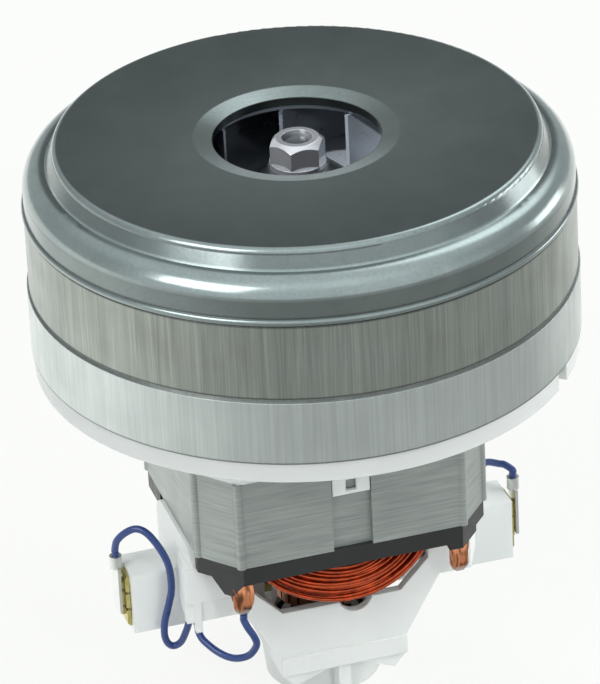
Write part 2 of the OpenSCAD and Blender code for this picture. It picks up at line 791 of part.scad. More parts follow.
// Right half of the bracket: end wall, flared and slanted corners, wing floor, brush box and closed slope
module bracket_side() {
    half = bracket_y / 2;
    slope_foot = bracket_h - apron_drop;
    translate([bracket_x - wall_t, 0, 0]) rotate([90, 0, 90]) linear_extrude(wall_t) end_wall_plan();
    translate([0, 0, wing_z]) {
        linear_extrude(wall_t) polygon([
            [window_top, -half], [corner_x, -half], [bracket_x, -end_reach], [bracket_x, box_w / 2],
            [bracket_x + flare, half], [window_top, half]
        ]);
        linear_extrude(wing_drop) polygon([
            [corner_x - wall_t, -half], [corner_x, -half], [bracket_x, -end_reach],
            [bracket_x, eps - end_reach], [bracket_x - wall_t, eps - end_reach], [corner_x - wall_t, wall_t - half]
        ]);
        linear_extrude(wing_drop) polygon([
            [bracket_x - wall_t, box_w / 2], [bracket_x, box_w / 2], [bracket_x + flare, half],
            [bracket_x - wall_t, half]
        ]);
    }
    translate([window_top, half - panel_t, bracket_h - panel_drop])
        cube([bracket_x + flare - window_top, 2 * panel_t, panel_drop]);
    translate([box_start, -box_w / 2, brush_z - box_h / 2]) cube([box_end - box_start, box_w, box_h]);
    translate([0, half, 0]) rotate([90, 0, 0]) linear_extrude(half) polygon([
        [apron_half, wing_z + wall_t / 2], [apron_half, wing_z], [apron_foot, slope_foot], [apron_foot, band_z],
        [apron_foot - wall_t, band_z], [apron_foot - wall_t, slope_foot], [apron_half - wall_t, wing_z],
        [apron_half - wall_t, wing_z + wall_t / 2]
    ]);
    lead_prong();
}

// Commutator-end bracket: walls, wings, brush boxes, bearing cup, ribs and lead prongs
module commutator_end_bracket() {
    cup_h = lower_bearing_z + bearing_w + 2;
    seat_z = lower_bearing_z - preload_t;
    post_w = 3.5;
    well_r = shaft_r + 3;
    well_z = 4;
    color("white") difference() {
        union() {
            half_turn_pair() {
                translate([0, wall_t - bracket_y / 2, 0]) rotate([90, 0, 0]) linear_extrude(wall_t)
                    bracket_wall_plan();
                bracket_side();
                translate([-apron_foot, -bracket_y / 2 - band_t, band_z])
                    cube([2 * apron_foot, band_t + wall_t / 2, bracket_h - apron_drop - band_z]);
            }
            translate([-apron_foot, -bracket_y / 2, band_z]) cube([2 * apron_foot, bracket_y, wall_t]);
            cylinder(r1 = cup_r - cup_taper, r2 = cup_r, h = cup_h);
            translate([-post_w / 2, -bracket_y / 2, 0]) cube([post_w, bracket_y, band_z + wall_t]);
        }
        half_turn_pair() translate([0, -holder_y - fixed_gap, brush_z - holder_z - fixed_gap])
            cube([box_end + eps, 2 * (holder_y + fixed_gap), 2 * (holder_z + fixed_gap)]);
        translate([0, 0, seat_z]) cylinder(r = seat_r + fixed_gap, h = bracket_h);
        translate([0, 0, well_z]) cylinder(r = well_r, h = bracket_h);
    }
}

// The right-hand side as drawn, or its mirror image on the left
module on_side(side) {
    mirror([side < 0 ? 1 : 0, 0, 0]) children();
}

// Brass tube that guides a brush
module brush_holder(side) {
    length = cap_plug - holder_start;
    color("goldenrod") on_side(side) difference() {
        translate([holder_start, -holder_y, brush_z - holder_z]) cube([length, 2 * holder_y, 2 * holder_z]);
        translate([holder_start - eps, holder_t - holder_y, brush_z - holder_z + holder_t])
            cube([length + 2 * eps, 2 * (holder_y - holder_t), 2 * (holder_z - holder_t)]);
    }
}

// Brass end clip: a plug that stops the spring, a plate with folded leaves, and the blade that takes the lug
module brush_cap(side) {
    plate_y = 3.6;
    plate_z = 7.6;
    leaf_h = 4.2;
    leaf_pitch = 5;
    leaf_t = 0.4;
    blade_w = 3;
    blade_h = 10;
    color("goldenrod") on_side(side) {
        translate([cap_plug, -holder_y, brush_z - holder_z]) cube([cap_t, 2 * holder_y, 2 * holder_z]);
        translate([cap_plug, -blade_w / 2, brush_z - blade_w / 2])
            cube([box_end - cap_plug + plate_t, blade_w, blade_w]);
        translate([box_end, -plate_y, brush_z - plate_z]) cube([plate_t, 2 * plate_y, 2 * plate_z]);
        for (i = [-1:1]) translate([box_end, -plate_y, brush_z + i * leaf_pitch - leaf_h / 2])
            cube([plate_t + leaf_t, 2 * plate_y, leaf_h]);
        translate([box_end, -blade_w / 2, brush_z - blade_h / 2])
            cube([plate_t + knuckle_t, blade_w, blade_h]);
    }
}

// Spring behind a brush, from the brush's back to the end clip
module brush_spring(side) {
    start = commutator_r + run_gap + brush_l;
    coil_r = 2;
    rings = 8;
    span = cap_plug - start - 2 * spring_wire - 2 * run_gap;
    turns = spring_curls * rings;
    path = concat([[start + run_gap, coil_r, brush_z]],
        [for (i = [0:turns]) [start + run_gap + spring_wire + span * i / turns,
            coil_r * cos(360 * i / rings), brush_z + coil_r * sin(360 * i / rings)]],
        [[cap_plug - run_gap, coil_r, brush_z]]);
    color("silver") on_side(side) tube(path, spring_wire, 6, [0, 1, 0]);
}

// Carbon brush with its hollowed running face
module brush(side) {
    color([0.2, 0.2, 0.21]) on_side(side) difference() {
        translate([0, -brush_w / 2, brush_z - brush_h / 2])
            cube([commutator_r + run_gap + brush_l, brush_w, brush_h]);
        translate([0, 0, brush_z - brush_h]) cylinder(r = commutator_r + run_gap, h = 2 * brush_h);
        translate([-commutator_d, -brush_w, brush_z - brush_h])
            cube([commutator_d, 2 * brush_w, 2 * brush_h]);
    }
}

// Crimped lug on a brush terminal, with the barrel that the lead leaves
module lead_lug(side) {
    lug_w = 6;
    neck = 0.5;
    color("gainsboro") on_side(side) {
        translate([lug_x, -lug_w / 2, lug_top - lug_h]) cube([plate_t, lug_w, lug_h]);
        translate([lug_x + plate_t / 2, 0, lug_top - neck]) cylinder(r = barrel_r, h = barrel_h + neck);
    }
}

// Route of a lead from its lug to a coil terminal, by points out, back and up from the foot of a wing
function lead_route(points) =
    let (lug = [lug_x + plate_t / 2, 0, lug_top + barrel_h + fixed_gap],
         tab = [terminal_x, terminal_y, terminal_foot - fixed_gap], straight = [0, 0, lead_d])
    concat([lug, lug + straight / 2, lug + straight],
        [for (p = points) [bracket_x + p[0], p[1], wing_z + p[2]]],
        [tab - straight, tab - straight / 2, tab]);

// Both leads come up inside the prong, pass behind it and loop under the corner in the same way
prong_to_tab = [
    [4.4, 9, -12.6], [2.8, 9, -13.8], [1, 10, -12.3], [-0.3, 11.3, -8.3], [-1.2, 12.6, -4.2],
    [-1.6, 14, -2.7], [-1.8, 15.6, -2.3], [-1.9, 17, -3.2], [-1.9, 18.2, -5], [-2.3, 19.4, -6.4],
    [-3.3, 20.9, -7.5], [-5.3, 23.5, -8.9], [-7.5, 26.3, -9.4], [-9.8, 28.8, -8.8], [-12.2, 31, -6.9],
    [-13.7, 32.6, -3.3], [-13.1, 33, -0.4], [-11.7, 32.2, 2.3]
];
high_bow = [
    [14.4, 0.8, 17.2], [12.2, 2.4, 20.1], [9.7, 4, 21.5], [7.4, 6, 20.7], [5, 8, 17.2], [3.2, 9, 12.7],
    [2.5, 9, 8.2], [2.6, 9, 3.2], [3.7, 9, -1.3], [4.9, 9, -5.8], [5.2, 9, -9.8]
];
low_bow = [
    [13.6, 2.2, 14.9], [12.5, 3.8, 14.6], [10.3, 8.3, 13], [9.3, 10.4, 9.7], [8.8, 11, 5.7],
    [7.8, 10.8, 1.7], [6.5, 10.2, -2.8], [5.5, 9.4, -6.5], [5.1, 9, -9.8]
];

module jumper_lead(side, bow) {
    color("royalblue") rotate(side < 0 ? 180 : 0)
        tube(curve(lead_route(concat(bow, prong_to_tab)), 2), lead_d, 8, [1, 0, 0]);
}

// Grooved race of a ball bearing, between two radii
module race(r_out, r_in) {
    difference() {
        ring(r_out, r_in, bearing_w);
        translate([0, 0, bearing_w / 2]) rotate_extrude() translate([pitch_r, 0]) circle(ball_r + run_gap);
    }
}

module outer_race() {
    color("silver") race(bearing_r, bearing_r - race_t);
}

module inner_race() {
    color("silver") race(shaft_r + race_t, shaft_r + fixed_gap);
}

// Balls of a bearing in the cage that carries them round
module ball_set() {
    cage_t = 0.7;
    cage_h = 2.4;
    color("lightgray") translate([0, 0, bearing_w / 2]) {
        for (i = [0:ball_count - 1]) rotate(i * 360 / ball_count) translate([pitch_r, 0, 0]) sphere(ball_r);
        translate([0, 0, -cage_h / 2]) ring(pitch_r + cage_t / 2, pitch_r - cage_t / 2, cage_h);
    }
}

// Rubber ring that holds the lower bearing in its cup
module bearing_cup() {
    color([0.1, 0.1, 0.1]) translate([0, 0, lower_bearing_z])
        ring(seat_r, bearing_r + fixed_gap, bearing_w);
}

// Spring washer that loads the lower bearing
module preload_washer() {
    washer_play = 0.5;
    color("silver") translate([0, 0, lower_bearing_z - preload_t])
        ring(bearing_r - washer_play, bearing_r - race_t, preload_t);
}

// Stepped shaft, with chamfered ends
module shaft() {
    tip = 0.8;
    lower_shoulder = lower_bearing_z + bearing_w;
    color("lightsteelblue") rotate_extrude() polygon([
        [0, shaft_foot], [shaft_r - tip, shaft_foot], [shaft_r, shaft_foot + tip],
        [shaft_r, lower_shoulder], [core_r, lower_shoulder], [core_r, upper_bearing_z],
        [shaft_r, upper_bearing_z],
        [shaft_r, shaft_top - tip], [shaft_r - tip, shaft_top], [0, shaft_top]
    ]);
}

// Plan of the armature's slots, made smaller by a gap where the copper fills them
module slot_plan(gap) {
    slot_centre = armature_r - slot_r - 3.3;
    for (i = [0:slot_count - 1]) rotate(i * 360 / slot_count) translate([slot_centre, 0])
        circle(slot_r - gap);
}

module armature_core() {
    mouth_w = 2;
    color("dimgray") translate([0, 0, stack_z]) linear_extrude(stack_h) difference() {
        circle(armature_r);
        circle(core_r + fixed_gap);
        slot_plan(0);
        for (i = [0:slot_count - 1]) rotate(i * 360 / slot_count)
            translate([armature_r - slot_r - 3, -mouth_w / 2]) square([armature_r, mouth_w]);
    }
}

// Copper in the slots and the rounded end windings above and below the core
module armature_winding() {
    inner = core_r + 1.5;
    round_r = end_winding_h / 2;
    outer = armature_r - 2.4;
    color("sienna") {
        for (z = [stack_z - end_winding_h, stack_top]) translate([0, 0, z]) rotate_extrude() {
            translate([inner, 0]) square([outer - round_r - inner, end_winding_h]);
            translate([outer - round_r, round_r]) circle(round_r);
        }
        translate([0, 0, stack_z - eps]) linear_extrude(stack_h + 2 * eps) slot_plan(fixed_gap);
    }
}

module commutator_hub() {
    color("saddlebrown") translate([0, 0, commutator_z])
        ring(commutator_r - bar_t - fixed_gap, core_r + fixed_gap, commutator_h);
}

// Separate copper bars, with a riser at the armature's end
module commutator_bars() {
    slit = 0.6;
    riser = 1.4;
    riser_h = 2;
    color("peru") {
        for (size = [[commutator_r, 0, commutator_h],
                     [commutator_r + riser, commutator_h - riser_h, riser_h]])
            translate([0, 0, commutator_z + size[1]]) linear_extrude(size[2]) difference() {
                circle(size[0]);
                circle(commutator_r - bar_t);
                for (i = [0:bar_count - 1]) rotate(i * 360 / bar_count)
                    translate([0, -slit / 2]) square([commutator_d, slit]);
            }
    }
}

// Spacer sleeve on the shaft between two heights
module spacer(low, high) {
    color("silver") translate([0, 0, low]) ring(spacer_d / 2, shaft_r + fixed_gap, high - low);
}

module impeller_disc(z) {
    color("gainsboro") translate([0, 0, z]) ring(impeller_r, shaft_r + fixed_gap, disc_t);
}

// Curved blades under a shroud that falls from the eye to the rim
module impeller_blades(z, eye_z, rim_h) {
    low = z + disc_t + fixed_gap;
    rim_z = z + disc_t + rim_h;
    blade_in = eye_r - 1;
    blade_out = impeller_r - 0.5;
    fall = (eye_z - rim_z) / (impeller_r - eye_r);
    color("gainsboro") intersection() {
        translate([0, 0, low]) linear_extrude(eye_z - low + fall + eps)
            curved_strips(blade_count, blade_in, blade_out, blade_t);
        rotate_extrude() polygon([
            [blade_in, low], [blade_out, low],
            [blade_out, rim_z + fall * (impeller_r - blade_out) - fixed_gap], [eye_r, eye_z - fixed_gap],
            [blade_in, eye_z - fixed_gap]
        ]);
    }
}

// Dished front disc of an impeller, with the collar round its eye
module impeller_shroud(z, eye_z, rim_h) {
    rim_z = z + disc_t + rim_h;
    color("gainsboro") rotate_extrude() polygon([
        [impeller_r, rim_z], [impeller_r, rim_z + disc_t], [eye_r + disc_t, eye_z + disc_t],
        [eye_r + disc_t, eye_z + disc_t + collar_h], [eye_r, eye_z + disc_t + collar_h], [eye_r, eye_z]
    ]);
}

// Cone-shaped hub on the first impeller, with a foot that clamps its disc
module first_hub() {
    foot_h = 2.2;
    bore = shaft_r + fixed_gap;
    color("silver") difference() {
        union() {
            turned(hub_z, hub_z + foot_h, hub_foot_d / 2, hub_foot_d / 2);
            turned(hub_z + foot_h, washer_z, hub_foot_d / 2, hub_top_d / 2);
        }
        turned(hub_z - eps, washer_z + eps, bore, bore);
    }
}

module clamp_washer() {
    color("silver") translate([0, 0, washer_z]) ring(washer_d / 2, shaft_r + fixed_gap, washer_t);
}

// Hexagon nut with a crowned top
module fan_nut() {
    corner_r = nut_af / 2 / cos(30);
    crown_r = nut_af / 2 - 0.9;
    crown_h = 1.6;
    color("lightgray") translate([0, 0, nut_z]) difference() {
        intersection() {
            cylinder(r = corner_r, h = nut_h, $fn = 6);
            rotate_extrude() polygon([
                [0, 0], [corner_r, 0], [corner_r, nut_h - crown_h], [crown_r, nut_h], [0, nut_h]
            ]);
        }
        translate([0, 0, -eps]) cylinder(r = shaft_r + fixed_gap, h = nut_h + 2 * eps);
    }
}

fan_cover();
middle_ring();
lower_ring();
stage_divider();
first_guide();
second_guide_disc();
fan_end_bracket();
stator_core();
upper_insulator();
lower_insulator();
field_coil_front();
field_coil_rear();
coil_terminals();
commutator_end_bracket();
brush_holder(-1);  // brush_holder_left
brush_holder(1);  // brush_holder_right
brush_cap(-1);  // brush_cap_left
brush_cap(1);  // brush_cap_right
brush_spring(-1);  // brush_spring_left
brush_spring(1);  // brush_spring_right
lead_lug(-1);  // lead_lug_left
lead_lug(1);  // lead_lug_right
jumper_lead(-1, high_bow);  // jumper_lead_left
jumper_lead(1, low_bow);  // jumper_lead_right
translate([0, 0, upper_bearing_z]) outer_race();  // upper_bearing_outer
translate([0, 0, lower_bearing_z]) outer_race();  // lower_bearing_outer
bearing_cup();
preload_washer();
shaft();
armature_core();
armature_winding();
commutator_hub();
commutator_bars();
translate([0, 0, upper_bearing_z]) inner_race();  // upper_bearing_inner
translate([0, 0, lower_bearing_z]) inner_race();  // lower_bearing_inner
spacer(upper_bearing_z + bearing_w, second_disc_z);  // lower_spacer
spacer(second_disc_z + disc_t, first_disc_z);  // upper_spacer
impeller_disc(second_disc_z);  // second_impeller_disc
impeller_blades(second_disc_z, second_eye_z, second_rim_h);  // second_impeller_blades
impeller_shroud(second_disc_z, second_eye_z, second_rim_h);  // second_impeller_shroud
impeller_disc(first_disc_z);  // first_impeller_disc
impeller_blades(first_disc_z, first_eye_z, first_rim_h);  // first_impeller_blades
impeller_shroud(first_disc_z, first_eye_z, first_rim_h);  // first_impeller_shroud
first_hub();
clamp_washer();
fan_nut();
translate([0, 0, upper_bearing_z]) ball_set();  // upper_ball_set
translate([0, 0, lower_bearing_z]) ball_set();  // lower_ball_set
brush(-1);  // brush_left
brush(1);  // brush_right
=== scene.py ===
"""Looks of a two-stage vacuum motor unit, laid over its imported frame.

Lengths are metres, except that the leads, windings, springs and terminals hold their sizes in
millimetres. +Z runs up the shaft to the air inlet, the brushes lie along X and the front faces -Y.
"""

import json
import logging
import math
from dataclasses import dataclass
from enum import Enum
from typing import ClassVar

import bpy
import numpy as np
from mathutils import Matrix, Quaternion, Vector


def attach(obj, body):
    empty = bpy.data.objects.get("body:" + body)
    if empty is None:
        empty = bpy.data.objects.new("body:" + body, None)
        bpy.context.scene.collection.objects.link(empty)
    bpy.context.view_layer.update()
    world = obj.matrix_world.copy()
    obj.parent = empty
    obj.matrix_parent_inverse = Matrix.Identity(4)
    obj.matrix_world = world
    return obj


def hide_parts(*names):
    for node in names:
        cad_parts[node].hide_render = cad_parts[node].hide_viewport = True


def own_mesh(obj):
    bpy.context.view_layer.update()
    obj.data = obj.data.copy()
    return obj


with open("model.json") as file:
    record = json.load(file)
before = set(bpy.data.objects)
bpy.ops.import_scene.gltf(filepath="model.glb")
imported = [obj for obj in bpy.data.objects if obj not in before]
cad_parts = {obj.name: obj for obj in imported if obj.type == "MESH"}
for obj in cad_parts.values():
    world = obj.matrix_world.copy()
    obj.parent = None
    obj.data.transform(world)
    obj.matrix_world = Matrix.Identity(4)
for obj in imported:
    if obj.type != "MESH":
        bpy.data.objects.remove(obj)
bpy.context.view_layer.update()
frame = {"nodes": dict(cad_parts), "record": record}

Colour = tuple[float, float, float, float]
Point = tuple[float, float, float]
Span = tuple[float, float]
Socket = bpy.types.NodeSocket
MM = 0.001
MATT_SWING = 0.12
COAT_ROUGHNESS = 0.15
INNER_LIGHT = 0.4
EDGE_SAMPLES = 6
log = logging.getLogger("vacuum_motor")


def srgb(red: int, green: int, blue: int) -> Colour:
    """Turns a colour as seen on a screen into a shader's linear colour.

    Args:
        red: Red from 0 to 255.
        green: Green from 0 to 255.
        blue: Blue from 0 to 255.

    Returns:
        The linear colour with an alpha of one.
    """
    shares = [channel / 255 for channel in (red, green, blue)]
    linear = [share / 12.92 if share < 0.04045 else ((share + 0.055) / 1.055) ** 2.4 for share in shares]
    return (linear[0], linear[1], linear[2], 1.0)


class Graph:
    """Shader nodes of a material or a world, with the small steps that they share."""

    def __init__(self, owner: bpy.types.ID, surface: str = "Principled BSDF") -> None:
        """Starts the nodes with a plain surface.

        Args:
            owner: Material or world that they belong to.
            surface: Name of its surface node.
        """
        owner.use_nodes = True
        self.owner = owner
        self.tree = owner.node_tree
        self.surface = self.tree.nodes[surface]

    def feed(self, socket: Socket, value: object) -> None:
        """Links a socket, or sets its constant.

        Args:
            socket: Input to feed.
            value: Another node's output, or a constant.
        """
        if isinstance(value, Socket):
            self.tree.links.new(value, socket)
        else:
            socket.default_value = value

    def node(self, kind: str, values: dict[str | int, object], **settings: object) -> bpy.types.Node:
        """Adds a shader node.

        Args:
            kind: Kind of node, without its common prefix.
            values: Input values by name or index.
            settings: Properties of the node.

        Returns:
            The node.
        """
        made = self.tree.nodes.new("ShaderNode" + kind)
        for key, value in settings.items():
            setattr(made, key, value)
        for key, value in values.items():
            self.feed(made.inputs[key], value)
        return made

    def place(self, stretch: Point = (1.0, 1.0, 1.0)) -> Socket:
        """Gives the place on the object, stretched; a small factor draws the pattern out."""
        spot = self.node("TexCoord", {}).outputs["Object"]
        return self.node("VectorMath", {0: spot, 1: stretch}, operation="MULTIPLY").outputs[0]

    def axis_place(self, axis: str) -> Socket:
        """Gives one coordinate, X, Y or Z, of the place on the object."""
        return self.node("SeparateXYZ", {0: self.place()}).outputs[axis]

    def math(self, way: str, first: object, second: object) -> Socket:
        """Does the named operation on two values or sockets."""
        return self.node("Math", {0: first, 1: second}, operation=way).outputs[0]

    def noise(self, where: Socket, size: float, detail: float = 3.0) -> Socket:
        """Adds soft noise, about 0.5 on average, in patches of a size, with detail as finer layers."""
        return self.node("TexNoise", {"Vector": where, "Scale": 1 / size, "Detail": detail}).outputs[0]

    def spread(self, value: object, low: float, high: object, start: float = 0.3,
               end: float = 0.7) -> Socket:
        """Maps a value from the span of start and end to that of low and high, and keeps it there."""
        return self.node("MapRange", {0: value, 1: start, 2: end, 3: low, 4: high}).outputs[0]

    def blend(self, share: object, first: object, second: object) -> Socket:
        """Mixes two colours or sockets by the share of the second one."""
        return self.node("Mix", {0: share, 6: first, 7: second}, data_type="RGBA").outputs[2]

    def lit(self, colour: object, value: object) -> Socket:
        """Makes a colour lighter or darker by a factor on its brightness."""
        return self.node("HueSaturation", {"Value": value, "Color": colour}).outputs[0]

    def bump(self, height: Socket, depth: float, base: object = None) -> Socket:
        """Turns a height into a normal.

        Args:
            height: Socket from 0 to 1.
            depth: Depth in metres.
            base: Normal to start from.

        Returns:
            The normal's socket.
        """
        values = {"Strength": 1.0, "Distance": depth, "Height": height}
        if base is not None:
            values["Normal"] = base
        return self.node("Bump", values).outputs[0]


@dataclass(frozen=True)
class Finish:
    """A plain finish: one colour that swings a little, with a fine grain.

    Attributes:
        name: Name of the material and of its slot in the record.
        colour: Its colour.
        roughness: How matt it is.
        metallic: One for bare metal.
        swing: How far its brightness swings.
        patch: Size of the patches of that swing.
        grain: Depth of the fine grain.
        grain_size: Size of that grain.
        coat: Strength of a clear coat.
        edge: Radius that its edges are softened to.
        glow: How deep light goes into it.
    """

    name: str
    colour: Colour
    roughness: float
    metallic: float = 0.0
    swing: float = 0.06
    patch: float = 12 * MM
    grain: float = 0.01 * MM
    grain_size: float = 0.5 * MM
    coat: float = 0.0
    edge: float = 0.0
    glow: float = 0.0

    def tint(self, graph: Graph) -> Socket:
        """Builds the colour, which swings in soft patches."""
        cloud = graph.noise(graph.place(), self.patch)
        return graph.lit(self.colour, graph.spread(cloud, 1 - self.swing, 1 + self.swing))

    def height(self, graph: Graph) -> Socket:
        """Builds the height of the grain, from 0 to 1."""
        return graph.noise(graph.place(), self.grain_size, 2.0)

    def build(self) -> bpy.types.Material:
        """Builds the material.

        Returns:
            The material.
        """
        graph = Graph(bpy.data.materials.new(self.name))
        base = None
        if self.edge:
            base = graph.node("Bevel", {"Radius": self.edge}, samples=EDGE_SAMPLES).outputs[0]
        matt = graph.noise(graph.place(), self.patch / 2)
        rough = self.roughness
        values = {
            "Base Color": self.tint(graph),
            "Metallic": self.metallic,
            "Roughness": graph.spread(matt, rough * (1 - MATT_SWING), rough * (1 + MATT_SWING)),
            "Normal": graph.bump(self.height(graph), self.grain, base),
            "Coat Weight": self.coat,
            "Coat Roughness": COAT_ROUGHNESS,
            "Subsurface Weight": INNER_LIGHT if self.glow else 0.0,
            "Subsurface Radius": (1.0, 1.0, 1.0),
            "Subsurface Scale": self.glow,
        }
        for key, value in values.items():
            graph.feed(graph.surface.inputs[key], value)
        log.info("finish %s", self.name)
        return graph.owner


class Draw(Enum):
    """Way that a sheet's marks run, as the stretch of their pattern along each axis."""

    UPRIGHT = (1.0, 1.0, 0.02)
    EVEN = (1.0, 1.0, 1.0)


@dataclass(frozen=True)
class SheetSteel(Finish):
    """Zinc-coated sheet with drawing marks and stains.

    Attributes:
        stain: Colour of the stained patches.
        draw: Way that its marks run.
        marks: How far the marks swing the brightness.
        mark_w: Width of a fine mark.
        seams: Heights of the joints that get a thin dark line, in millimetres.
        seam_shade: Brightness in a joint.
        seam_w: Distances from a joint where its dirt starts to fade and ends.
    """

    stain: Colour = (0.2, 0.2, 0.2, 1.0)
    draw: Draw = Draw.EVEN
    marks: float = 0.12
    mark_w: float = 0.7 * MM
    seams: tuple[float, ...] = ()
    seam_shade: float = 0.4
    seam_w: Span = (0.15 * MM, 0.55 * MM)

    def joint_lines_and_painted_light(self, graph: Graph, shade: Socket) -> Socket:
        """Darkens the shade in a thin line along each joint.

        Args:
            graph: Nodes of the material.
            shade: Brightness without the joints.

        Returns:
            The brightness's socket.
        """
        for height in self.seams:
            away = graph.math("ABSOLUTE", graph.math("SUBTRACT", graph.axis_place("Z"), height * MM), 0.0)
            line = graph.spread(away, self.seam_shade, 1.0, *self.seam_w)
            shade = graph.math("MULTIPLY", shade, line)
        return shade

    def tint(self, graph: Graph) -> Socket:
        """Builds the colour from stains, broad marks, fine marks, a dark line along each joint, and the
        fan cover's painted light.

        Args:
            graph: Nodes of the material.

        Returns:
            The colour's socket.
        """
        run = graph.place(self.draw.value)
        cloud = graph.spread(graph.noise(graph.place(), self.patch), 0.0, 1.0)
        stained = graph.blend(cloud, self.colour, self.stain)
        broad = graph.spread(graph.noise(run, 6 * self.mark_w), 1 - self.swing, 1 + self.swing)
        fine = graph.spread(graph.noise(run, self.mark_w, 2.0), 1 - self.marks, 1 + self.marks)
        return graph.lit(stained, self.joint_lines_and_painted_light(graph, graph.math("MULTIPLY", broad, fine)))

    def height(self, graph: Graph) -> Socket:
        """Builds the height of the marks, from 0 to 1."""
        return graph.noise(graph.place(self.draw.value), self.mark_w, 2.0)


@dataclass(frozen=True)
class PressedCover(SheetSteel):
    """Sheet of the fan cover, with bands of painted highlight and painted shade, and painted shade in the
    inlet.

    Attributes:
        painted_light_bands: Lower height, upper height and brightness of each band, in millimetres; a
            brightness above one is a painted highlight, below one painted shade.
        soft: Half the width over which a band fades.
        throat_shade_r: Radius inside which the inlet's wall gets painted shade.
        throat_painted_shade: Brightness of that painted shade.
    """

    painted_light_bands: tuple[Point, ...] = ()
    soft: float = 0.1 * MM
    throat_shade_r: float = 22.15 * MM
    throat_painted_shade: float = 0.3

    def joint_lines_and_painted_light(self, graph: Graph, shade: Socket) -> Socket:
        """Adds the painted light bands and the painted shade on the inlet's wall to the dark lines in the
        joints.

        Args:
            graph: Nodes of the material.
            shade: Brightness without them.

        Returns:
            The brightness's socket.
        """
        shade = super().joint_lines_and_painted_light(graph, shade)
        # Each band scales the brightness: a painted highlight above one, painted shade below one.
        for low, high, level in self.painted_light_bands:
            half = (high - low) / 2 * MM
            offset = graph.math("SUBTRACT", graph.axis_place("Z"), (low + high) / 2 * MM)
            away = graph.math("ABSOLUTE", offset, 0.0)
            painted_band = graph.spread(away, level, 1.0, half - self.soft, half + self.soft)
            shade = graph.math("MULTIPLY", shade, painted_band)
        # Painted shade: the inlet's wall inside the throat radius is darkened.
        flat = graph.place((1.0, 1.0, 0.0))
        reach = graph.node("VectorMath", {0: flat}, operation="LENGTH").outputs["Value"]
        painted_throat_shade = graph.spread(reach, self.throat_painted_shade, 1.0, self.throat_shade_r - self.soft, self.throat_shade_r + self.soft)
        return graph.math("MULTIPLY", shade, painted_throat_shade)


@dataclass(frozen=True)
class Laminations(Finish):
    """Stacked sheets whose cut edges show as fine lines.

    Attributes:
        sheet: Thickness of one sheet.
        line: How much darker the joint between two sheets is.
        own: How far each sheet's own shade swings.
    """

    sheet: float = 0.5 * MM
    line: float = 0.16
    own: float = 0.14

    def wave(self, graph: Graph) -> Socket:
        """Builds a wave up the stack, from -1 in a joint to 1 on a sheet's edge."""
        turn = graph.math("MULTIPLY", graph.axis_place("Z"), 2 * math.pi / self.sheet)
        return graph.math("SINE", turn, 0.0)

    def tint(self, graph: Graph) -> Socket:
        """Builds the colour from the joints, each sheet's own shade and broad patches.

        Args:
            graph: Nodes of the material.

        Returns:
            The colour's socket.
        """
        joints = graph.spread(self.wave(graph), 1 - self.line, 1 + self.line, -1.0, 1.0)
        sheets = graph.noise(graph.place((0.05, 0.05, 1.0)), 1.3 * self.sheet)
        own = graph.spread(sheets, 1 - self.own, 1 + self.own)
        cloud = graph.spread(graph.noise(graph.place(), self.patch), 1 - self.swing, 1 + self.swing)
        return graph.lit(self.colour, graph.math("MULTIPLY", graph.math("MULTIPLY", joints, own), cloud))

    def height(self, graph: Graph) -> Socket:
        """Builds the height of the sheets' edges, from 0 to 1."""
        return graph.spread(self.wave(graph), 0.0, 1.0, -1.0, 1.0)


@dataclass(frozen=True)
class Moulding(Finish):
    """Moulded plastic with painted shade above a height, near the steel case.

    Attributes:
        level: Height above which it is darker with painted shade.
        painted_shade: Brightness there.
        fade: Half the height over which the painted shade fades in.
    """

    level: float = 92 * MM
    painted_shade: float = 0.8
    fade: float = 3 * MM

    def tint(self, graph: Graph) -> Socket:
        """Builds the colour, with a soft step where the painted shade starts.

        Args:
            graph: Nodes of the material.

        Returns:
            The colour's socket.
        """
        start, end = self.level - self.fade, self.level + self.fade
        # Painted shade: the plastic is darker above the level, under the case.
        shade = graph.spread(graph.axis_place("Z"), 1.0, self.painted_shade, start, end)
        return graph.lit(super().tint(graph), shade)


@dataclass(frozen=True)
class TippedCopper(Finish):
    """Bare copper strip whose lower tip is soldered.

    Attributes:
        solder: Colour of the solder.
        tip: Height below which it is soldered.
        wire_gap_shade: Brightness of the painted shade in the gaps between the wires pressed on it.
        wire_w: Width of those wires.
        uneven: How far the solder's edge rises and falls.
        fade: Height over which the solder thins out.
    """

    solder: Colour = srgb(206, 200, 192)
    tip: float = 42.4 * MM
    wire_gap_shade: float = 0.3
    wire_w: float = 1.1 * MM
    uneven: float = 2 * MM
    fade: float = 1.4 * MM

    def tint(self, graph: Graph) -> Socket:
        """Builds the colour: wires in painted light and shade, and an uneven edge between copper and
        solder.

        Args:
            graph: Nodes of the material.

        Returns:
            The colour's socket.
        """
        strands = graph.noise(graph.place((1.0, 1.0, 0.2)), self.wire_w, 1.0)
        # Painted shade in the gaps between the wires and painted highlights on their crowns.
        wire_shading = graph.spread(strands, self.wire_gap_shade, 1.15, 0.38, 0.55)
        bare = graph.lit(super().tint(graph), wire_shading)
        uneven = graph.math("MULTIPLY", graph.noise(graph.place(), 1.5 * MM), self.uneven)
        level = graph.math("ADD", graph.axis_place("Z"), uneven)
        soldered = graph.spread(level, 1.0, 0.0, self.tip, self.tip + self.fade)
        return graph.blend(soldered, bare, self.solder)


# Bands of the fan cover from its top disc down: painted highlights on the lip, the inner corner and the
# shoulder, painted shade on the step wall and the skirt.
COVER_PAINTED_LIGHT_BANDS = ((161.3, 162.2, 1.04), (157.7, 161.2, 0.74), (157.05, 157.5, 1.2), (152.4, 156.95, 1.1),
               (147.3, 151.8, 0.76))

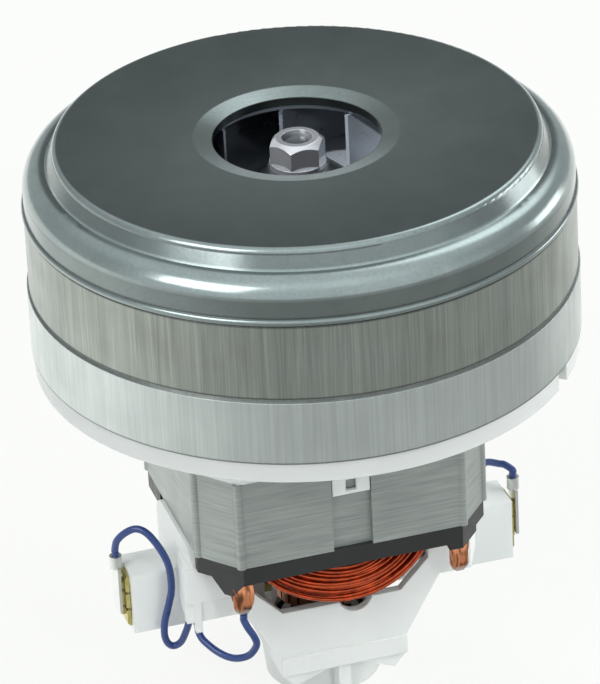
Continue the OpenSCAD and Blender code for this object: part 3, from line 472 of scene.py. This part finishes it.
FINISHES: tuple[Finish, ...] = (
    PressedCover("cover_steel", srgb(141, 151, 149), roughness=0.2, metallic=0.95, swing=0.03,
                 patch=16 * MM, grain=0.004 * MM, edge=0.3 * MM, stain=srgb(134, 144, 143), marks=0.05,
                 mark_w=0.8 * MM, seams=(147.0,), painted_light_bands=COVER_PAINTED_LIGHT_BANDS),
    SheetSteel("middle_steel", srgb(150, 157, 151), roughness=0.36, metallic=0.92, swing=0.1,
               patch=18 * MM, grain=0.008 * MM, edge=0.3 * MM, stain=srgb(142, 147, 140),
               draw=Draw.UPRIGHT, marks=0.15, mark_w=0.5 * MM, seams=(124.1, 144.8)),
    SheetSteel("lower_steel", srgb(193, 200, 197), roughness=0.38, metallic=0.9, swing=0.05,
               patch=18 * MM, grain=0.005 * MM, edge=0.3 * MM, stain=srgb(184, 191, 188),
               draw=Draw.UPRIGHT, marks=0.08, mark_w=0.7 * MM, seams=(105.5,)),
    SheetSteel("inner_steel", srgb(140, 142, 140), roughness=0.4, metallic=0.9,
               stain=srgb(126, 128, 126)),
    Moulding("white_plastic", srgb(238, 241, 238), roughness=0.42, swing=0.02, patch=25 * MM,
             grain=0.006 * MM, grain_size=0.7 * MM, edge=0.35 * MM, glow=1.5 * MM),
    Finish("guide_plastic", srgb(214, 214, 208), roughness=0.5, swing=0.03),
    Laminations("laminations", srgb(160, 166, 162), roughness=0.45, metallic=0.55, swing=0.06,
                patch=14 * MM, grain=0.012 * MM, line=0.07),
    Finish("black_plastic", srgb(36, 38, 37), roughness=0.45, swing=0.12, patch=6 * MM,
           grain=0.015 * MM, edge=0.3 * MM),
    Finish("enamelled_copper", srgb(180, 70, 27), roughness=0.2, metallic=0.85, swing=0.34,
           patch=2.5 * MM, coat=0.4),
    TippedCopper("copper_strip", srgb(206, 136, 98), roughness=0.3, metallic=0.9, swing=0.16,
                 patch=2 * MM),
    SheetSteel("brass", srgb(214, 204, 140), roughness=0.32, metallic=0.85, swing=0.1, patch=4 * MM,
               grain=0.004 * MM, edge=0.2 * MM, stain=srgb(176, 166, 100), marks=0.05,
               seams=(31.2, 36.2)),
    Finish("tinned", srgb(208, 210, 206), roughness=0.3, metallic=0.9, swing=0.06, patch=4 * MM,
           grain=0.003 * MM, edge=0.15 * MM),
    Finish("spring_steel", srgb(150, 152, 152), roughness=0.3, metallic=0.95),
    Finish("blue_insulation", srgb(33, 61, 122), roughness=0.3, swing=0.07, patch=8 * MM,
           grain=0.004 * MM, coat=0.25),
    Finish("bearing_steel", srgb(198, 200, 202), roughness=0.15, metallic=1.0, swing=0.03),
    Finish("black_rubber", srgb(38, 38, 38), roughness=0.65, swing=0.1),
    Finish("shaft_steel", srgb(122, 126, 128), roughness=0.3, metallic=1.0, swing=0.06),
    # Darker than bare aluminium as painted shade inside the inlet.
    Finish("impeller_aluminium", srgb(150, 157, 166), roughness=0.3, metallic=0.7, swing=0.05,
           patch=10 * MM),
    # Darker and browner than bare copper as painted shade: the commutator sits in shadow.
    Finish("commutator_copper", srgb(132, 84, 58), roughness=0.42, metallic=0.9, swing=0.1,
           patch=5 * MM),
    Finish("brown_resin", srgb(84, 54, 38), roughness=0.5, swing=0.1),
    Finish("carbon", srgb(52, 52, 54), roughness=0.6, metallic=0.1, swing=0.12, patch=3 * MM),
    Finish("bright_zinc", srgb(184, 186, 190), roughness=0.2, metallic=0.92, swing=0.05, patch=5 * MM,
           edge=0.3 * MM),
)


class Wardrobe:
    """Materials of all the finishes, put on the frame's nodes and on new pieces."""

    def __init__(self) -> None:
        """Builds every material once."""
        self.materials = {finish.name: finish.build() for finish in FINISHES}

    def dress_nodes(self) -> None:
        """Puts each node's finish on it, as the record states it."""
        for subpart in frame["record"]["subparts"]:
            node = frame["nodes"][subpart["node"]]
            material = self.materials[subpart["material_slot"]]
            for place in node.material_slots:
                place.material = material
            log.info("node %s in %s", subpart["node"], subpart["material_slot"])

    def dress(self, piece: bpy.types.Object, slot: str, body: str,
              replaced: tuple[str, ...] = ()) -> None:
        """Gives a new piece its finish and its body, and hides the nodes that it replaces.

        Args:
            piece: The new piece.
            slot: Material slot of the record.
            body: Body that it moves with.
            replaced: Nodes that it replaces.
        """
        piece.data.materials.append(self.materials[slot])
        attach(piece, body)
        if replaced:
            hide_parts(*replaced)
        log.info("piece %s on %s", piece.name, body)


class Surface:
    """Meshes made from whole grids of points."""

    @staticmethod
    def faces(rows: int, cols: int) -> np.ndarray:
        """Numbers the quads of a grid whose columns close on themselves.

        Args:
            rows: Rings of the grid.
            cols: Points in each ring.

        Returns:
            An array of four point numbers for each quad, facing out.
        """
        row, col = np.meshgrid(np.arange(rows - 1), np.arange(cols), indexing="ij")
        here = row * cols + col
        beside = row * cols + (col + 1) % cols
        return np.stack([here, beside, beside + cols, here + cols], axis=-1).reshape(-1, 4)

    @classmethod
    def loft(cls, name: str, grids: list[np.ndarray], smooth: bool = True) -> bpy.types.Object:
        """Makes one piece of closed tubes, each from a grid of rings.

        A tube whose last ring is its first one gets no end faces.

        Args:
            name: Name of the piece.
            grids: Points of each tube as rings, points in a ring, and coordinates.
            smooth: Whether its faces are shaded as one round surface.

        Returns:
            The piece, in the scene.
        """
        points, quads, caps, start = [], [], [], 0
        for grid in grids:
            rows, cols, _ = grid.shape
            points.append(grid.reshape(-1, 3))
            quads.append(cls.faces(rows, cols) + start)
            if not np.allclose(grid[0], grid[-1]):
                caps.append(np.arange(cols)[::-1] + start)
                caps.append(np.arange(cols) + start + (rows - 1) * cols)
            start += rows * cols
        mesh = bpy.data.meshes.new(name)
        polygons = np.concatenate(quads).tolist() + [cap.tolist() for cap in caps]
        mesh.from_pydata(np.concatenate(points).tolist(), [], polygons)
        mesh.polygons.foreach_set("use_smooth", np.full(len(polygons), smooth))
        mesh.update()
        piece = bpy.data.objects.new(name, mesh)
        bpy.context.scene.collection.objects.link(piece)
        return piece

    @staticmethod
    def tube(path: np.ndarray, radius: float, sides: int, aside: Point) -> np.ndarray:
        """Sweeps a round tube along a path: ring = p + r (n cos f + b sin f), with b = t x n.

        Args:
            path: Points along the tube.
            radius: Radius of the tube.
            sides: Points in each ring.
            aside: A direction that the path never runs along.

        Returns:
            The grid of points.
        """
        along = np.gradient(path, axis=0)
        along /= np.linalg.norm(along, axis=1, keepdims=True)
        across = np.array(aside) - along * (along @ np.array(aside))[:, None]
        across /= np.linalg.norm(across, axis=1, keepdims=True)
        other = np.cross(along, across)
        turn = np.linspace(0, 2 * math.pi, sides, endpoint=False)[None, :, None]
        ring = across[:, None] * np.cos(turn) + other[:, None] * np.sin(turn)
        return path[:, None] + radius * ring

    @staticmethod
    def curve(points: np.ndarray, steps: int) -> np.ndarray:
        """Runs a smooth curve through points: each span is a cubic with slopes (next - last) / 2.

        Args:
            points: Points to pass through.
            steps: Points to make in each span.

        Returns:
            The points of the curve.
        """
        padded = np.concatenate([points[:1], points, points[-1:]])
        before, start, end, after = padded[:-3], padded[1:-2], padded[2:-1], padded[3:]
        part = np.arange(steps)[None, :, None] / steps
        before, start, end, after = (item[:, None] for item in (before, start, end, after))
        spans = 0.5 * (2 * start + (end - before) * part
                       + (2 * before - 5 * start + 4 * end - after) * part ** 2
                       + (3 * start - before - 3 * end + after) * part ** 3)
        return np.concatenate([spans.reshape(-1, 3), points[-1:]])


@dataclass(frozen=True)
class Lamp:
    """One soft light of the studio.

    Attributes:
        name: Name of the light.
        place: Its place.
        size: Length of its sides, or width of a spot.
        power: Its power in watts.
        mirrored: Whether metal mirrors it.
        cone: Angle of its beam in degrees, or zero for an open square light.
        aim: Point that it faces.
    """

    name: str
    place: Point
    size: float
    power: float
    mirrored: bool = True
    cone: float = 0.0
    aim: Point = (0.0, 0.0, 0.10)

    def hang(self) -> None:
        """Hangs the light in the scene."""
        data = bpy.data.lights.new(self.name, "SPOT" if self.cone else "AREA")
        data.energy = self.power
        if self.cone:
            data.spot_size = math.radians(self.cone)
            data.spot_blend = 0.5
            data.shadow_soft_size = self.size / 2
        else:
            data.size = self.size
        lamp = bpy.data.objects.new(self.name, data)
        lamp.location = self.place
        lamp.rotation_euler = (Vector(self.aim) - Vector(self.place)).to_track_quat("-Z", "Y").to_euler()
        lamp.visible_glossy = self.mirrored
        bpy.context.scene.collection.objects.link(lamp)


LAMPS = (
    Lamp("key_left", (-0.9, -0.5, 0.95), size=0.7, power=6.5),
    Lamp("fill_right", (1.0, -0.35, 0.75), size=0.6, power=6.0, mirrored=False),
    Lamp("top_back", (0.1, 0.8, 1.1), size=0.8, power=5.0, mirrored=False),
    Lamp("flash", (0.25, -1.25, 0.95), size=0.12, power=3.2, mirrored=False),
    Lamp("rim_right", (1.2, 0.15, 0.16), size=0.5, power=2.4),
    Lamp("inlet_left", (-0.5, -0.15, 0.75), size=0.05, power=140.0, mirrored=False, cone=5.0,
         aim=(0.012, 0.0, 0.15)),
)


class Room(Graph):
    """Shader nodes of the light that fills the room."""

    def __init__(self, name: str) -> None:
        """Starts the scene's world.

        Args:
            name: Name of the world.
        """
        super().__init__(bpy.data.worlds.new(name), "Background")
        bpy.context.scene.world = self.owner
        self.where = self.node("TexCoord", {}).outputs["Generated"]

    def zone(self, way: Point, span: Span, levels: Span) -> Socket:
        """Maps how far a direction points one way to a brightness.

        Args:
            way: Direction of the zone.
            span: Cosines where it starts and where it is full.
            levels: Brightness outside it and inside it.

        Returns:
            The brightness's socket.
        """
        toward = self.node("VectorMath", {0: self.where, 1: way}, operation="DOT_PRODUCT")
        values = {0: toward.outputs["Value"], 1: span[0], 2: span[1], 3: levels[0], 4: levels[1]}
        return self.node("MapRange", values, interpolation_type="SMOOTHSTEP").outputs[0]


@dataclass
class Studio:
    """Camera, floor and lights of the photo.

    Attributes:
        azimuth: Direction of the camera round the shaft, in degrees from the front.
        elevation: Height of the camera in degrees.
        roll: Lean of the camera in degrees.
        distance: Distance from the camera to its target.
        target: Point that it looks at.
        lens: Focal length in millimetres on a frame 36 mm long.
        shift: Shift of the picture as shares of its longer side.
        backdrop: Colour of the pale backdrop as the camera sees it.
        floor_colour: Colour of the floor that takes the shadow.
        floor_half: Half the floor's length.
        floor_dark_way: Direction in which metal mirrors the floor darkest.
        floor_levels: Brightness of the mirrored floor away from that direction and in it.
        floor_span: Cosines to that direction where the one ends and the other starts.
        glow_share: Share of the floor that is backdrop and not shadow.
        room_colour: Colour of the room's light.
        room_light: Strength of the room's soft light.
    """

    azimuth: float = -15.9
    elevation: float = 29.35
    roll: float = -2.86
    distance: float = 1.4323
    target: Point = (0.0, 0.0, 0.10018)
    lens: float = 285.6
    shift: Span = (-0.0104, -0.0007)
    backdrop: Colour = (0.99, 1.0, 0.98, 1.0)
    floor_colour: Colour = (0.82, 0.83, 0.83, 1.0)
    floor_half: float = 4.0
    floor_dark_way: Point = (0.34, -0.94, 0.0)
    floor_levels: Span = (1.45, 0.48)
    floor_span: Span = (-0.42, 0.64)
    glow_share: float = 0.85
    room_colour: Colour = (0.93, 0.98, 1.0, 1.0)
    room_light: float = 0.38

    def camera(self) -> None:
        """Sets the camera where the photo was taken."""
        side = math.radians(self.azimuth)
        up = math.radians(self.elevation)
        back = Vector((math.sin(side) * math.cos(up), -math.cos(side) * math.cos(up), math.sin(up)))
        data = bpy.data.cameras.new("camera")
        data.lens = self.lens
        data.shift_x, data.shift_y = self.shift
        camera = bpy.data.objects.new("camera", data)
        camera.location = Vector(self.target) + back * self.distance
        look = (-back).to_track_quat("-Z", "Y") @ Quaternion((0, 0, 1), math.radians(self.roll))
        camera.rotation_euler = look.to_euler()
        bpy.context.scene.collection.objects.link(camera)
        bpy.context.scene.camera = camera

    @staticmethod
    def seen(graph: Graph) -> Socket:
        """Tells the rays that look at a backdrop from those that carry its light.

        Args:
            graph: Nodes of the backdrop.

        Returns:
            A socket that is one for camera, mirror and glass rays.
        """
        rays = graph.node("LightPath", {}).outputs
        mirrored = graph.math("MAXIMUM", rays["Is Glossy Ray"], rays["Is Transmission Ray"])
        return graph.math("MAXIMUM", rays["Is Camera Ray"], mirrored)

    def floor(self) -> None:
        """Lays a pale floor that keeps the unit's shadow."""
        graph = Graph(bpy.data.materials.new("studio_floor"))
        plain = graph.node("BsdfDiffuse", {"Color": self.floor_colour})
        round_unit = graph.node("VectorMath", {0: graph.place()}, operation="NORMALIZE").outputs[0]
        ahead = graph.node("VectorMath", {0: round_unit, 1: self.floor_dark_way}, operation="DOT_PRODUCT")
        mirrored = graph.spread(ahead.outputs["Value"], *self.floor_levels, *self.floor_span)
        rays = graph.node("LightPath", {})
        level = graph.spread(rays.outputs["Is Glossy Ray"], 1.0, mirrored, 0.0, 1.0)
        glow = graph.node("Emission", {"Color": self.backdrop, "Strength": level})
        share = graph.math("MULTIPLY", self.seen(graph), self.glow_share)
        mixed = graph.node("MixShader", {0: share, 1: plain.outputs[0], 2: glow.outputs[0]})
        graph.feed(graph.tree.nodes["Material Output"].inputs["Surface"], mixed.outputs[0])
        half = self.floor_half
        corners = [(-half, -half, 0.0), (half, -half, 0.0), (half, half, 0.0), (-half, half, 0.0)]
        mesh = bpy.data.meshes.new("studio_floor")
        mesh.from_pydata(corners, [], [(0, 1, 2, 3)])
        mesh.materials.append(graph.owner)
        floor = bpy.data.objects.new("studio_floor", mesh)
        bpy.context.scene.collection.objects.link(floor)

    def world(self) -> None:
        """Fills the room with light; what metal mirrors is bright ahead and overhead, and dark behind."""
        room = Room("studio")
        ahead = room.zone((-0.274, -0.9617, 0.0), span=(0.0, 0.6), levels=(0.69, 1.15))
        overhead = room.zone((0.0, 0.0, 1.0), span=(0.5, 1.0), levels=(0.0, 0.5))
        behind = room.zone((0.2388, 0.8383, 0.4901), span=(0.93, 0.985), levels=(1.0, 0.24))
        patch = room.zone((0.492, 0.475, 0.730), span=(0.94, 0.99), levels=(0.0, 1.8))
        open_room = room.math("MULTIPLY", room.math("ADD", ahead, overhead), behind)
        mirrored = room.math("ADD", open_room, patch)
        rays = room.node("LightPath", {})
        level = room.node("Mix", {0: rays.outputs["Is Diffuse Ray"], 2: mirrored, 3: self.room_light})
        room.feed(room.surface.inputs["Color"], self.room_colour)
        room.feed(room.surface.inputs["Strength"], level.outputs[0])

    def set_up(self) -> None:
        """Sets up the camera, floor, lights and picture settings."""
        self.camera()
        self.floor()
        self.world()
        for lamp in LAMPS:
            lamp.hang()
        bpy.context.scene.view_settings.view_transform = "Standard"
        log.info("studio set up")


@dataclass
class JumperLeads:
    """The two blue leads from the brush lugs to the coil terminals.

    Attributes:
        wardrobe: Materials.
        diameter: Diameter of the insulation.
        foot: Place of a wing's foot that the routes are counted from.
        lug: Top of the lug's barrel.
        tab: Foot of the coil terminal.
        high_bow: Points of the left lead's bow, counted from the wing's foot.
        low_bow: Points of the right lead's bow.
        prong_to_tab: Points of both leads from the prong to the terminal.
    """

    wardrobe: Wardrobe
    diameter: float = 2.0
    foot: Point = (41.0, 0.0, 34.3)
    lug: Point = (56.0, 0.0, 46.5)
    tab: Point = (30.0, 31.2, 40.5)

    high_bow: ClassVar[list[Point]] = [
        (14.4, 0.8, 17.2), (12.2, 2.4, 20.1), (9.7, 4, 21.5), (7.4, 6, 20.7), (5, 8, 17.2),
        (3.2, 9, 12.7), (2.5, 9, 8.2), (2.6, 9, 3.2), (3.7, 9, -1.3), (4.9, 9, -5.8), (5.2, 9, -9.8),
    ]
    low_bow: ClassVar[list[Point]] = [
        (13.6, 2.2, 14.9), (12.5, 3.8, 14.6), (10.3, 8.3, 13), (9.3, 10.4, 9.7), (8.8, 11, 5.7),
        (7.8, 10.8, 1.7), (6.5, 10.2, -2.8), (5.5, 9.4, -6.5), (5.1, 9, -9.8),
    ]
    prong_to_tab: ClassVar[list[Point]] = [
        (4.4, 9, -12.6), (2.8, 9, -13.8), (1, 10, -12.3), (-0.3, 11.3, -8.3), (-1.2, 12.6, -4.2),
        (-1.6, 14, -2.7), (-1.8, 15.6, -2.3), (-1.9, 17, -3.2), (-1.9, 18.2, -5), (-2.3, 19.4, -6.4),
        (-3.3, 20.9, -7.5), (-5.3, 23.5, -8.9), (-7.5, 26.3, -9.4), (-9.8, 28.8, -8.8),
        (-12.2, 31, -6.9), (-13.7, 32.6, -3.3), (-13.1, 33, -0.4), (-11.7, 32.2, 2.3),
    ]

    def route(self, bow: list[Point], side: int) -> np.ndarray:
        """Builds a lead's path.

        Args:
            bow: Points of its bow, counted from the wing's foot.
            side: 1 for the right one; -1 turns it half round the shaft.

        Returns:
            The path in metres.
        """
        straight = np.array([0.0, 0.0, self.diameter])
        lug, tab = np.array(self.lug), np.array(self.tab)
        middle = np.array(bow + self.prong_to_tab) + np.array(self.foot)
        points = np.concatenate([[lug, lug + straight / 2, lug + straight], middle,
                                 [tab - straight, tab - straight / 2, tab]])
        return Surface.curve(points * np.array([side, side, 1]) * MM, 8)

    def lead(self, name: str, bow: list[Point], side: int) -> None:
        """Args:
            name: Name of the node that it replaces.
            bow: Points of its bow.
            side: 1 for the right one, -1 for the left one.
        """
        path = self.route(bow, side)
        data = bpy.data.curves.new(name + "_dress", "CURVE")
        data.dimensions = "3D"
        data.bevel_depth = self.diameter / 2 * MM
        data.bevel_resolution = 5
        data.use_fill_caps = True
        spline = data.splines.new("POLY")
        spline.points.add(len(path) - 1)
        spline.points.foreach_set("co", np.hstack([path, np.ones((len(path), 1))]).ravel())
        piece = bpy.data.objects.new(name + "_dress", data)
        bpy.context.scene.collection.objects.link(piece)
        self.wardrobe.dress(piece, "blue_insulation", "case", (name,))

    def build(self) -> None:
        """Makes both leads."""
        self.lead("jumper_lead_left", self.high_bow, -1)
        self.lead("jumper_lead_right", self.low_bow, 1)


@dataclass
class FieldWinding:
    """Both field coils, each one long wire wound in close loops over several layers.

    Attributes:
        wardrobe: Materials.
        wire: Diameter of the wire.
        loops: Loops in a layer.
        layers: Layers of loops.
        half_w: Half width of the innermost loop.
        rise: Rise of the innermost loop's end turn.
        step_x: Step in half width from loop to loop.
        step_z: Step in rise from loop to loop.
        depth: Distance of the first layer from the shaft.
        step_y: Step from layer to layer.
        bow: How far the end turns lean out.
        top: Foot of the upper end turns.
        foot: Foot of the lower end turns.
        stray: How far a loop strays from its place.
        wave: Height of the wave that it strays by.
        pace: Pace of that wave over a turn.
        arc: Points along an end turn.
        seed: Start of the random draws.
    """

    wardrobe: Wardrobe
    wire: float = 1.08
    loops: int = 8
    layers: int = 3
    half_w: float = 14.2
    rise: float = 3.4
    step_x: float = 1.37
    step_z: float = 1.25
    depth: float = 23.0
    step_y: float = 1.2
    bow: float = 6.3
    top: float = 86.7
    foot: float = 51.8
    stray: float = 0.17
    wave: float = 0.5
    pace: float = 2.2
    arc: int = 22
    seed: int = 7

    def path(self) -> np.ndarray:
        """Builds the wire's path.

        Over an end turn at angle f: x = w cos f, y = -d - bow sin^2 f, z = foot - rise sin f. The
        loop's size steps on through the lower end turns, and every second layer runs back. Each
        loop strays from its place by a small wave a sin f sin(p f + k) of its own.

        Returns:
            The path in metres.
        """
        count = self.loops * self.layers
        turn = np.linspace(0, math.pi, self.arc)
        shake = np.random.default_rng(self.seed).normal(0, self.stray, (count, 3))
        number = np.arange(count)[:, None]
        run = np.concatenate([np.zeros((1, self.arc)), np.linspace(0, 1, self.arc)[None]], axis=1)
        done = number + run
        layer = np.minimum(np.floor(done / self.loops), self.layers - 1)
        within = done - layer * self.loops
        size = np.clip(within, 0, self.loops - 1)
        size = np.where(layer % 2 == 1, self.loops - 1 - size, size)
        deep = layer + np.clip(within - (self.loops - 1), 0, 1)
        both = np.concatenate([turn, turn])[None]
        way = np.concatenate([-np.ones(self.arc), np.ones(self.arc)])[None]
        half = self.half_w + size * self.step_x + shake[:, :1]
        lift = self.rise + size * self.step_z + shake[:, 1:2]
        base = np.where(way < 0, self.top, self.foot)
        ripple = self.wave * np.sin(both) * np.sin(self.pace * both + 40 * shake[:, 2:])
        across = way * half * np.cos(both)
        lean = self.bow * np.sin(both) ** 2
        out = -self.depth - deep * self.step_y - lean + shake[:, 2:] * 0.6 + ripple
        up = base - way * (lift + ripple) * np.sin(both)
        return np.stack([across, out, up], axis=-1).reshape(-1, 3) * MM

    def build(self) -> None:
        """Makes both coils."""
        path = self.path()
        for name, side in (("field_coil_front", 1), ("field_coil_rear", -1)):
            turned = path * np.array([side, side, 1])
            grid = Surface.tube(turned, self.wire / 2 * MM, 10, (0.0, 1.0, 0.0))
            piece = Surface.loft(name + "_dress", [grid])
            self.wardrobe.dress(piece, "enamelled_copper", "case", (name,))


@dataclass
class ArmatureWinding:
    """The armature's copper: crossed strands over both ends of the core, and the wires in its slots.

    Attributes:
        wardrobe: Materials.
        inner: Inner radius of an end winding.
        outer: Outer radius of an end winding.
        height: Height of an end winding.
        ends: Heights where the lower and the upper end winding start.
        slots: Number of slots.
        slot_place: Distance from the shaft to a slot's middle.
        slot_r: Radius of the wires in a slot.
        strand: How far a strand stands out.
        strands: Number of strands round the shaft.
        lay: Turn of a strand over the profile.
        sides: Points in each ring round the shaft.
    """

    wardrobe: Wardrobe
    inner: float = 6.5
    outer: float = 19.5
    height: float = 9.0
    ends: Span = (47.5, 82.0)
    slots: int = 12
    slot_place: float = 16.0
    slot_r: float = 2.55
    strand: float = 0.18
    strands: int = 36
    lay: float = 9.0
    sides: int = 288

    def end(self, low: float) -> np.ndarray:
        """Builds one end winding.

        The profile runs at share s from the inner foot up, over the rounded outer edge and back.
        Strands lift it by a sin(n g + k s) sin(n g - k s) sin(pi s) at angle g, which draws two sets
        of crossing ridges.

        Args:
            low: Height where it starts.

        Returns:
            The grid of points in metres.
        """
        bend = self.height / 2
        arc = np.linspace(math.pi / 2, -math.pi / 2, 24)
        radius = np.concatenate([[self.inner], np.linspace(self.inner, self.outer - bend, 10),
                                 self.outer - bend + bend * np.cos(arc),
                                 np.linspace(self.outer - bend, self.inner, 10)])
        level = np.concatenate([[0.0], np.full(10, self.height), bend + bend * np.sin(arc),
                                np.zeros(10)])
        share = np.linspace(0, 1, len(radius))[:, None]
        angle = np.linspace(2 * math.pi, 0, self.sides, endpoint=False)[None]
        turn = self.strands * angle
        ridges = np.sin(turn + self.lay * share) * np.sin(turn - self.lay * share)
        reach = radius[:, None] + self.strand * ridges * np.sin(math.pi * share)
        rise = np.broadcast_to(low + level[:, None], reach.shape)
        return np.stack([reach * np.cos(angle), reach * np.sin(angle), rise], axis=-1) * MM

    def slot_fill(self, number: int) -> np.ndarray:
        """Builds the wires in one slot as a round bar.

        Args:
            number: Number of the slot.

        Returns:
            The grid of points in metres.
        """
        turn = 2 * math.pi * number / self.slots
        heights = np.linspace(self.ends[0] + self.height - 1, self.ends[1] + 1, 4)
        across = self.slot_place * math.cos(turn)
        deep = self.slot_place * math.sin(turn)
        line = np.stack([np.full(4, across), np.full(4, deep), heights], axis=-1)
        return Surface.tube(line * MM, self.slot_r * MM, 16, (1.0, 0.0, 0.0))

    def build(self) -> None:
        """Makes the winding."""
        ends = [self.end(low) for low in self.ends]
        fills = [self.slot_fill(number) for number in range(self.slots)]
        piece = Surface.loft("armature_winding_dress", ends + fills)
        self.wardrobe.dress(piece, "enamelled_copper", "rotor", ("armature_winding",))


@dataclass
class BrushSprings:
    """The springs behind the brushes, at one length here; they shorten as the commutator pushes the
    brushes out.

    Attributes:
        wardrobe: Materials.
        start: Distance from the shaft to the spring's end on the brush.
        end: Distance from the shaft to its end on the clip.
        height: Height of its axis.
        radius: Radius of its curls.
        wire: Diameter of its wire.
        curls: Number of curls.
        keep: Share of its length that is left at the end of the brush's way. Not used.
    """

    wardrobe: Wardrobe
    start: float = 32.2
    end: float = 50.9
    height: float = 33.7
    radius: float = 2.0
    wire: float = 0.6
    curls: int = 7
    keep: float = 0.72

    def path(self) -> np.ndarray:
        """Builds the wire's path, with plain ends.

        At share t: x = a + (b - a) t, y = r cos(2 pi n t), z = h + r sin(2 pi n t).

        Returns:
            The path in metres.
        """
        share = np.linspace(0, 1, 24 * self.curls + 1)
        turn = 2 * math.pi * self.curls * share
        along = self.start + self.wire + (self.end - self.start - 2 * self.wire) * share
        across = self.radius * np.cos(turn)
        up = self.height + self.radius * np.sin(turn)
        curls = np.stack([along, across, up], axis=-1)
        ends = [[[place, self.radius, self.height]] for place in (self.start, self.end)]
        return np.concatenate([ends[0], curls, ends[1]]) * MM

    def build(self) -> None:
        """Makes both springs."""
        path = self.path()
        for name, side in (("left", -1), ("right", 1)):
            turned = path * np.array([side, side, 1])
            grid = Surface.tube(turned, self.wire / 2 * MM, 8, (0.0, 1.0, 0.0))
            piece = Surface.loft(f"brush_spring_{name}_dress", [grid])
            self.wardrobe.dress(piece, "spring_steel", "case", (f"brush_spring_{name}",))
            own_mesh(piece)


@dataclass
class Terminals:
    """Folded copper leaves on the four terminal tabs, and the coil ends that run down inside them.

    Attributes:
        wardrobe: Materials.
        tab: Middle of the front right tab, below the insulating frame.
        foot: Height of the leaves' lower ends.
        wide: Width of a leaf at its top.
        narrow: Width of a leaf at its lower end.
        stand_off: How far a leaf's ends stand off the tab's middle.
        swell: How far a leaf bows away from the tab.
        skew: How far its middle shifts sideways.
        thick: Thickness of a leaf.
        wire: Diameter of the coil ends.
        run: Points of a coil end from the coil to the tab.
    """

    wardrobe: Wardrobe
    tab: Point = (30.0, -31.2, 49.3)
    foot: float = 40.9
    wide: float = 5.4
    narrow: float = 2.2
    stand_off: float = 0.65
    swell: float = 1.1
    skew: float = 0.5
    thick: float = 0.4
    wire: float = 0.8
    run: ClassVar[list[Point]] = [
        (23.6, -25.0, 50.4), (25.6, -28.2, 49.0), (27.7, -30.8, 48.6), (29.2, -32.1, 47.6),
        (29.9, -32.2, 45.8), (30.0, -31.9, 43.6),
    ]

    def leaf(self, face: int) -> np.ndarray:
        """Builds one leaf.

        At share s down it, its half width is (w + (n - w) s^1.4) / 2, and it stands off the tab by
        c + b sin(pi s).

        Args:
            face: -1 for the leaf outside the tab, 1 for the one behind it.

        Returns:
            The grid of points in millimetres.
        """
        share = np.linspace(0, 1, 24)
        half = (self.wide + (self.narrow - self.wide) * share ** 1.4) / 2
        off = self.tab[1] + face * (self.stand_off + self.swell * np.sin(math.pi * share))
        level = self.tab[2] + (self.foot - self.tab[2]) * share
        lean = self.tab[0] + self.skew * face * np.sin(math.pi * share)
        corners = [(1, 1), (1, -1), (-1, -1), (-1, 1)]
        thin = self.thick / 2
        sides = [np.stack([lean + x * half, off + y * thin, level], axis=-1) for x, y in corners]
        return np.stack(sides, axis=1)

    def build(self) -> None:
        """Makes the leaves and coil ends of all four terminals."""
        ways = [np.array([x, y, 1]) for x in (1, -1) for y in (1, -1)]
        leaves = []
        for way in ways:
            pair = [self.leaf(face) * way * MM for face in (-1, 1)]
            leaves += pair if way[0] == way[1] else [grid[:, ::-1] for grid in pair]
        piece = Surface.loft("terminal_leaves", leaves, smooth=False)
        self.wardrobe.dress(piece, "copper_strip", "case")
        path = Surface.curve(np.array(self.run), 8)
        ends = [Surface.tube(path * way * MM, self.wire / 2 * MM, 8, (0.0, 0.0, 1.0)) for way in ways]
        self.wardrobe.dress(Surface.loft("coil_ends", ends), "enamelled_copper", "case")


def main() -> None:
    """Dresses the unit and sets up the studio."""
    logging.basicConfig(level=logging.INFO)
    Studio().set_up()
    wardrobe = Wardrobe()
    JumperLeads(wardrobe).build()
    FieldWinding(wardrobe).build()
    ArmatureWinding(wardrobe).build()
    BrushSprings(wardrobe).build()
    Terminals(wardrobe).build()
    wardrobe.dress_nodes()


if __name__ == "__main__":
    main()
